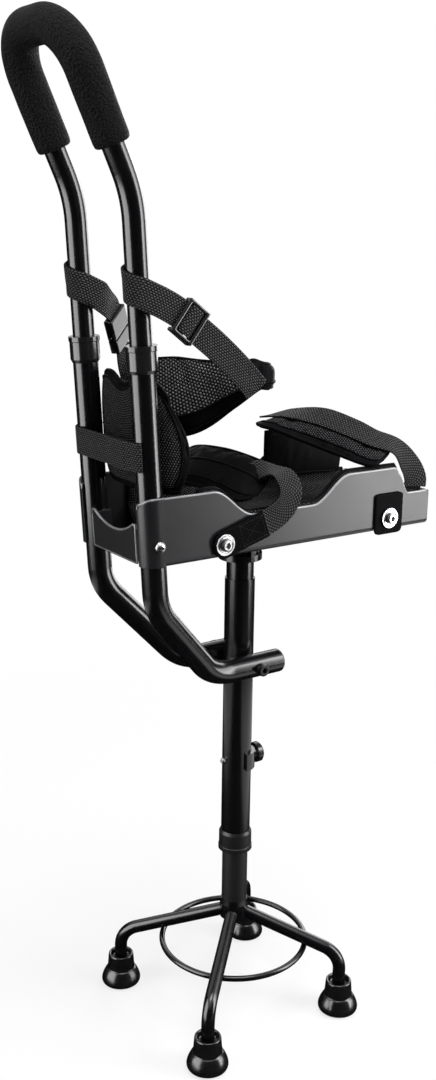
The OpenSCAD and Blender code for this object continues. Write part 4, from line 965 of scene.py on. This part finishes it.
def sewn_pad(name, grids, body, node, cap, material=fine_mesh, plain=None, glued=False):
    """plain(row, column) picks the faces with the plain edge cloth. The whole back of a glued pad is held."""
    piece, edge = pad_shell(name, *grids, material)
    n, m = shape = grids[0].shape[:2]
    if plain:
        piece.data.materials.append(binding)
        for k in range(2*(n - 1)*(m - 1)):
            piece.data.polygons[k].material_index = int(plain(*divmod(k//2, m - 1)))
    puff(piece, np.concatenate([edge, np.arange(n*m, 2*n*m) if glued else edge + n*m]), cap)
    rounding = piece.modifiers.new("rounding", "SUBSURF")
    rounding.levels = rounding.render_levels = 1
    dress(piece, body, "pad_fabric", node)
    print(name, n, "by", m, "points on each face")
    return piece, shape, edge


# %% [markdown]
# The thigh band is one padded strip that lies behind the thigh. It is tall on the far side and narrow on
# the near side, where a strap pulls it, so its route also carries its height. Its lower part and near end
# are plain.

# %% Thigh band
THIGH_H, THIGH_T, TIP = 70, 12, 0.1
thigh_route = np.array([
    [48, HALF_GAP + 6, 0, 0.92],
    [66, HALF_GAP - 2, 0, 1],
    [94, HALF_GAP - 24, 2, 0.98],
    [120, 0, 0, 0.62],
    [134, 24 - HALF_GAP, 0, 0.35],
    [135, 7 - HALF_GAP, 1, 0.28],
    [126, -8 - HALF_GAP, 2, 0.29],
    [110, -11 - HALF_GAP, 6, 0.3],
    [98, -11.2 - HALF_GAP, 12, 0.28]]) + (TUBE_X, 0, 0, 0)
path = smooth(thigh_route, 8)
share = np.linspace(0, 1, len(path))
tip = round_tip(share, TIP)*round_tip(1 - share, TIP)
tall = path[:, 3]*THIGH_H
heading = headings(path[:, :3]*(1, 1, 0))
spots = np.column_stack([path[:, :2], THIGH_Z + path[:, 2] - tall/2])
stations = np.column_stack([spots, heading[:, 1], -heading[:, 0], 0*share])
thick = EDGE_T + (THIGH_T*(1 - 0.5*ease((share - 0.55)/0.4)) - EDGE_T)*tip
grids = band_grids(stations, tall/2*tip, thick)
thigh_band = sewn_pad("thigh_pad", grids, "handle", "thigh_band", 2.0, pad_mesh,
                      lambda i, j: j < 7 or i > len(path)*0.47)

# %% [markdown]
# The two calf pads are strips of one kind, so one function makes both from their routes. The front one is
# plain all over, and the rear one shows mesh between two plain borders.

# %% Calf pads
def calf_pad(name, run, half, tips, border, node):
    path = smooth(run, 9)
    u = np.linspace(0, 1, len(path))
    tip = round_tip(u, tips[0])*round_tip(1 - u, tips[1])
    grids = band_grids(path, half*tip, EDGE_T + (CALF_T - EDGE_T)*tip)
    return sewn_pad(name, grids, "frame", node, 1.2, plain=lambda i, j: min(j, COLUMNS - 1 - j) < border)


front_wing = calf_pad("front_calf_pad", wing_run, 25, (0.22, 0.1), 20, "front_wing_pad")
rear_wing = calf_pad("rear_calf_pad", rear_run, 23, (0.1, 0.12), 5, "rear_pad")

# %% [markdown]
# The knee pad wraps round the front of the leg between the tubes. Its grid turns through an angle that
# grows towards the middle of its height, its top dips in the middle and at both ears, and each ear has a
# groove.

# %% Knee pad
KNEE_LOW, KNEE_TOP, KNEE_T, KNEE_R, SQUARE = 60, 156, 12, 30, 0.75
KNEE_ROWS, KNEE_COLUMNS, LEAST_TURN, MORE_TURN = 34, 56, 58, 26


def knee_grid(side, slim=0.9):
    """side is 1 for the outer face, -1 for the inner; SQUARE below 1 makes the wrap squarer than a circle."""
    v, u = spread(KNEE_ROWS)[:, None], -np.cos(np.pi*np.arange(KNEE_COLUMNS + 1)/KNEE_COLUMNS)
    a = np.radians(u*(LEAST_TURN + MORE_TURN*np.sin(np.pi*np.minimum(1, 0.12 + v*0.95))))
    groove = 1 - 0.22*np.exp(-((np.abs(u) - 0.8)/0.05)**2)
    r = side*(EDGE_T + (KNEE_T*slim - EDGE_T)*(crown(u)*crown(2*v - 1))*groove)/2
    top = KNEE_TOP - 8*np.exp(-(u/0.16)**2) - 16*(np.maximum(0, np.abs(u) - 0.4)/0.6)**2
    x = TUBE_R + 0.35 + 28.6 - (KNEE_R + r)*np.cos(a)**SQUARE
    y = np.copysign((HALF_GAP + 8 + r)*np.abs(np.sin(a))**SQUARE, u)
    return on_tube(*(g[..., None] for g in (x, y, KNEE_LOW + (top - KNEE_LOW)*v)))


knee_pad = sewn_pad("knee_pad_cover", (knee_grid(1), knee_grid(-1)), "frame", "knee_pad", 1.0,
                    plain=lambda i, j: min(j, KNEE_COLUMNS - 1 - j) < 9 or i < 5 or i > 28)

# %% [markdown]
# The shin cushion is a foam trough that lines the tray and stands a little above its walls. Each row of its
# grid runs across the tray: along the floor, round the corner and up the wall. Two channels on each side
# are quilted in. The tray holds its back, so only the face swells.

# %% Shin cushion
HUMP, DIP, TAIL, SLOPE = 59.0, 34.5, 33.0, 44
FALL_X, RISE_X, TAIL_X = -74, 36, 139
FLAT, WALL, CORNER_R, CORNER_H, SEAT = 0.55, 0.75, 20, 23, 4.6
FLOOR_T, SIDE_T, RIM_T, QUILT = 14, 7, 2.5, 3.2
FRONT_EDGE, LONG = -88, 258


def wall_top(x):
    fall = HUMP + (DIP - HUMP)*ease((x - FALL_X)/SLOPE)
    rise = DIP + (HUMP - DIP)*ease((x - RISE_X)/SLOPE)
    tail = HUMP + (TAIL - HUMP)*ease((x - TAIL_X + 4)/18)
    return np.where(x < FALL_X + SLOPE, fall, np.where(x < TAIL_X, rise, tail))


def trough_grid(inner, n=70, m=64):
    """inner is 0 on the tray and 0.9 on the face, which leaves room for the swelling."""
    u, w = np.arange(n + 1)[:, None]/n, 2*np.arange(m + 1)/m - 1
    x, v = FRONT_EDGE + LONG*u, np.abs(w)
    height = wall_top(x) + 3 - SEAT
    corner = np.clip((v - FLAT)/(WALL - FLAT), 0, 1)
    y = np.where(v < FLAT, (CUSHION_SIDE - CORNER_R)*v/FLAT, CUSHION_SIDE - CORNER_R*(1 - corner)**1.1)
    up = CORNER_H + (height - CORNER_H)*(v - WALL)/(1 - WALL)
    z = np.where(v < WALL, CORNER_H*corner**1.1, up)
    channel = QUILT*(np.exp(-((v - 0.28)/0.05)**2) + np.exp(-((v - 0.62)/0.05)**2))
    t = FLOOR_T + (SIDE_T - FLOOR_T)*np.maximum(0, v - FLAT)/(1 - FLAT) - channel
    t = inner*np.maximum(RIM_T, t*np.sqrt(np.maximum(0.05, 1 - np.abs(2*u - 1)**8)))
    turn = np.pi/2*corner
    return np.stack([x + 0*t, np.sign(w)*(y - t*np.sin(turn)), TRAY + SEAT + z + t*np.cos(turn)], -1)


shin_cushion = sewn_pad("shin_cushion_cover", (trough_grid(0.9), trough_grid(0)), "frame", "shin_cushion",
                        1.4, glued=True)

# %% [markdown]
# The rear flap is a thin padded board that stands inside the far wall and gives the rear strap something to
# close on. It is a band whose height falls towards the rear.

# %% Rear flap
FLAP_T = 6
k = np.linspace(0, 1, 28)
flap_top = REAR_Z - 8 + (RIM_Z + 16 - (REAR_Z - 8))*ease(k - 0.15)
middle = np.column_stack([60 + 98*k, 0*k + CUSHION_SIDE - 12.2, (RIM_Z + flap_top)/2])
flap_path = np.column_stack([middle, 0*k, 0*k - 1, 0*k])
flap_t = FLAP_T*np.minimum(1, 0.6 + 4*np.minimum(k, 1 - k))
grids = band_grids(flap_path, (flap_top - RIM_Z)/2, flap_t, slim=0.95)
rear_flap = sewn_pad("rear_flap_cover", grids, "frame", "rear_flap", 0.6, binding)

# %% [markdown]
# ## Foam grip
#
# The grip is a foam sleeve pushed over the bend of the handle. It is swept along the handle's own line,
# with rounded ends and a slight unevenness, because foam tube is never quite true.

# %% Foam sleeve
TURN = LEAN + math.radians(21)
HANDLE_UP = np.array([-math.sin(TURN), 0, math.cos(TURN)])
GRIP_R, BEND_R, STRAIGHT, ROUND, GIRTH = 15.0, 38, 56, 48, 0.094
END_RINGS = ((1.6, HANDLE_R + 0.2), (0.2, HANDLE_R + 1.2), (0.1, 13.2), (1.0, 14.4))
bend = tube_axis(0, TRAY + 301) + HANDLE_UP*97.5
line = [(-HALF_GAP, s - STRAIGHT) for s in np.linspace(0, STRAIGHT, 29)]
line += [(BEND_R - HALF_GAP - BEND_R*math.cos(a), BEND_R*math.sin(a))
         for a in np.radians(np.arange(5, 91, 5))]
line += [(y, BEND_R) for y in np.linspace(-8, 8, 5)]
line += [(-y, z) for y, z in line[len(line) - 6::-1]]
line = np.array(line)
centre = bend + line[:, :1]*ACROSS + line[:, 1:]*HANDLE_UP
ahead = headings(centre)
flat_side = np.cross(HANDLE_UP, ACROSS)
outward = np.cross(ahead, flat_side)
reach = lengths(centre)
rings = [(0, ahead[0]*inset, radius) for inset, radius in END_RINGS]
rings += [(i, 0*ahead[i], GRIP_R) for i in range(2, len(centre) - 2)]
rings += [(-1, -ahead[-1]*inset, radius) for inset, radius in reversed(END_RINGS)]
points, uv = [], []
for i, shift, radius in rings:
    for q in range(ROUND):
        a = 2*math.pi*q/ROUND
        way = outward[i]*math.cos(a) + flat_side*math.sin(a)
        spot = centre[i] + shift + way*radius
        uneven = noise.noise(Vector(spot/16))*0.22 - 0.15 if radius > 14 else 0
        points.append(spot + way*uneven)
        uv.append((reach[i]/1000, q/ROUND*GIRTH))
grip = make_mesh("foam_sleeve", metres(points), ring_faces(len(rings), ROUND), uv, sponge.material)
dress(grip, "handle", "foam", "foam_grip")
print("foam sleeve", round(reach[-1]), "mm along its middle")

# %% [markdown]
# ## Rolled rims
#
# The cut edges of the tray and of the front plate are rounded over. A slim bead stands for each, and its
# pale coat is a painted highlight that draws one bright line. The line follows the wall's outline: round
# the tube at the front, over both humps and the dip, across the rear end and back along the other side. The
# same tree that makes the piping sweeps a slim bead along it.

# %% Tray rims
WRAP_MID, REAR_END, FRONT_R, REAR_R = 12.45, 179.0, 9, 6
FRONT_X = TUBE_FOOT - SLANT*50 - 13.45


wall_line = [(FRONT_R*(1 - math.cos(a)) + FRONT_X, HUMP - FRONT_R*(1 - math.sin(a)))
             for a in np.radians(np.arange(0, 91, 10))]
steps = SLOPE*np.linspace(0, 1, 21)
xs = np.concatenate([np.linspace(-120, -78, 8), FALL_X + steps, np.linspace(-24, 30, 10), RISE_X + steps,
                     np.linspace(84, 130, 8)])
wall_line += list(zip(xs, wall_top(xs)))
wall_line += [(TAIL_X - REAR_R*(1 - math.sin(a)), HUMP - REAR_R*(1 - math.cos(a)))
              for a in np.radians(np.arange(0, 91, 15))]
corner_z = HUMP - REAR_R
wall_line += [(TAIL_X + 14*k, corner_z + (TAIL - corner_z)*ease(k)) for k in np.linspace(0.1, 1, 10)]
wall_line += [(x, TAIL) for x in np.linspace(157, REAR_END, 6)]


def wall_edge(side):
    """The wall's outline on that side, wrapped round the front of the tube."""
    x, z = np.array(wall_line).T
    axis = TUBE_FOOT - SLANT*z
    y = HALF_GAP + WRAP_MID*np.sqrt(np.maximum(0, 1 - (np.minimum(0, x - axis)/WRAP_MID)**2))
    return np.column_stack([np.maximum(x, axis - WRAP_MID), side*y, TRAY + z])


across_rear = [[REAR_END, y, TRAY + TAIL] for y in np.linspace(-56, 56, 8)]
tray_rim = metres(np.vstack([wall_edge(-1), across_rear, wall_edge(1)[::-1]]))
print("tray rim of", len(tray_rim), "points")

# %% Plate rim and both beads
PLATE_HALF, PLATE_H, SCOOP, PLATE_X = 36.7, 34.0, 10.0, -9.1
chord = PLATE_HALF - 4
scoop_r = (chord**2 + SCOOP**2)/2/SCOOP
outline = [(-PLATE_HALF, z) for z in np.linspace(1, PLATE_H, 8)]
outline += [(y, PLATE_H - SCOOP + scoop_r - math.sqrt(scoop_r**2 - y*y))
            for y in np.linspace(-chord, chord, 25)]
outline += [(PLATE_HALF, z) for z in np.linspace(PLATE_H, 1, 8)]
plate_rim = metres([on_tube(PLATE_X, y, z) for y, z in outline])
follow("rolled_rims", piping_tree("rolled rim", rim_highlight_paint), [(tray_rim, False), (plate_rim, True)],
       "frame", "tray_paint", Radius=1.2)

# %% [markdown]
# ## Seams
#
# Every pad is bound along its rim, and the binding is sewn down just inside it. The straps are sewn where
# they are folded back or join a pad: a box of stitches with a cross. The rows are read from the finished
# pads, so that they lie on the swollen cloth and not above or under it.

# %% Bound edges
def rim_line(pad):
    piece, shape, edge = pad
    at = coordinates(piece)
    return (at[edge] + at[edge + shape[0]*shape[1]])/2, True


def both_faces(pad, rows):
    """Lines through rows of (row, column) spots of a pad's grids, on its front and on its back."""
    at = coordinates(pad[0]).reshape(2, *pad[1], 3)
    return [(np.array([at[face, i, j] for i, j in row]), False) for row in rows for face in (0, 1)]


def lengthwise(pad, columns, ends=(2, 3)):
    rows = range(ends[0], pad[1][0] - ends[1] + 1)
    return both_faces(pad, [[(i, column) for i in rows] for column in columns])


around_ear = [(i, 9) for i in range(5, 29)] + [(29, j) for j in range(9, 48)]
around_ear += [(i, 47) for i in range(28, 4, -1)]
ridges = lengthwise(front_wing, (5, 11)) + lengthwise(rear_wing, (5, 15)) + both_faces(knee_pad, [around_ear])
folds = lengthwise(thigh_band, (7, 3), (4, 4))
for name, rows, body, radius in (
        ("pad_binding", [rim_line(pad) for pad in (knee_pad, front_wing, rear_wing)], "frame", 2.1),
        ("cushion_binding", [rim_line(shin_cushion)], "frame", 1.7),
        ("pad_seams", ridges, "frame", 1.0),
        ("thigh_seams", folds, "handle", 1.1),
        ("thigh_binding", [rim_line(thigh_band)], "handle", 1.6)):
    follow(name, edge_binding, rows, body, "pad_fabric", Radius=radius)

# %% Stitch rows
STRAP_STITCH = {"Pitch": 2.6, "Long": 2.1, "Thick": 0.5}


def on_strap(lines, start, end, offset, lift=0.0, steps=24):
    """A line on a strap, from start to end along it and between two offsets across it, in mm."""
    s = np.linspace(start, end, steps)
    spot, across, normal = (np.column_stack([np.interp(s, lines[3], rows[:, k]) for k in range(3)])
                            for rows in lines[:3])
    return metres(spot + across*np.linspace(*offset, steps)[:, None] + normal*(WEB_T/2 + lift)), False


def sewn_box(lines, start, end, half=9.5, lift=0.0):
    rows = [on_strap(lines, start, end, (y, y), lift) for y in (-half, half)]
    rows += [on_strap(lines, x, x, (-half, half), lift) for x in (start, end)]
    return rows + [on_strap(lines, start, end, (y, -y), lift) for y in (-half, half)]


near_end, tail_end = near_lines[3][-1], tail_lines[3][-1]
handle_rows = sewn_box(near_lines, near_end - 24, near_end - 3)
handle_rows += sewn_box(tail_lines, tail_end - 18, tail_end - 3)
follow("thigh_stitches", sewing, handle_rows, "handle", "webbing", **STRAP_STITCH)
frame_rows = sewn_box(front_lines, front_end - 54, front_end - 30, lift=1.5) + sewn_box(rear_lines, 4, 24)
follow("calf_stitches", sewing, frame_rows, "frame", "webbing", **STRAP_STITCH)
pad_rows = both_faces(knee_pad, [[(i, j) for j in range(12, 45)] for i in (17, 19, 21)])
pad_rows += lengthwise(rear_flap, (4, 16))
follow("pad_stitches", sewing, pad_rows, "frame", "pad_fabric", Pitch=3.0, Long=2.3, Thick=0.7)

# %% Finish
bpy.context.view_layer.update()
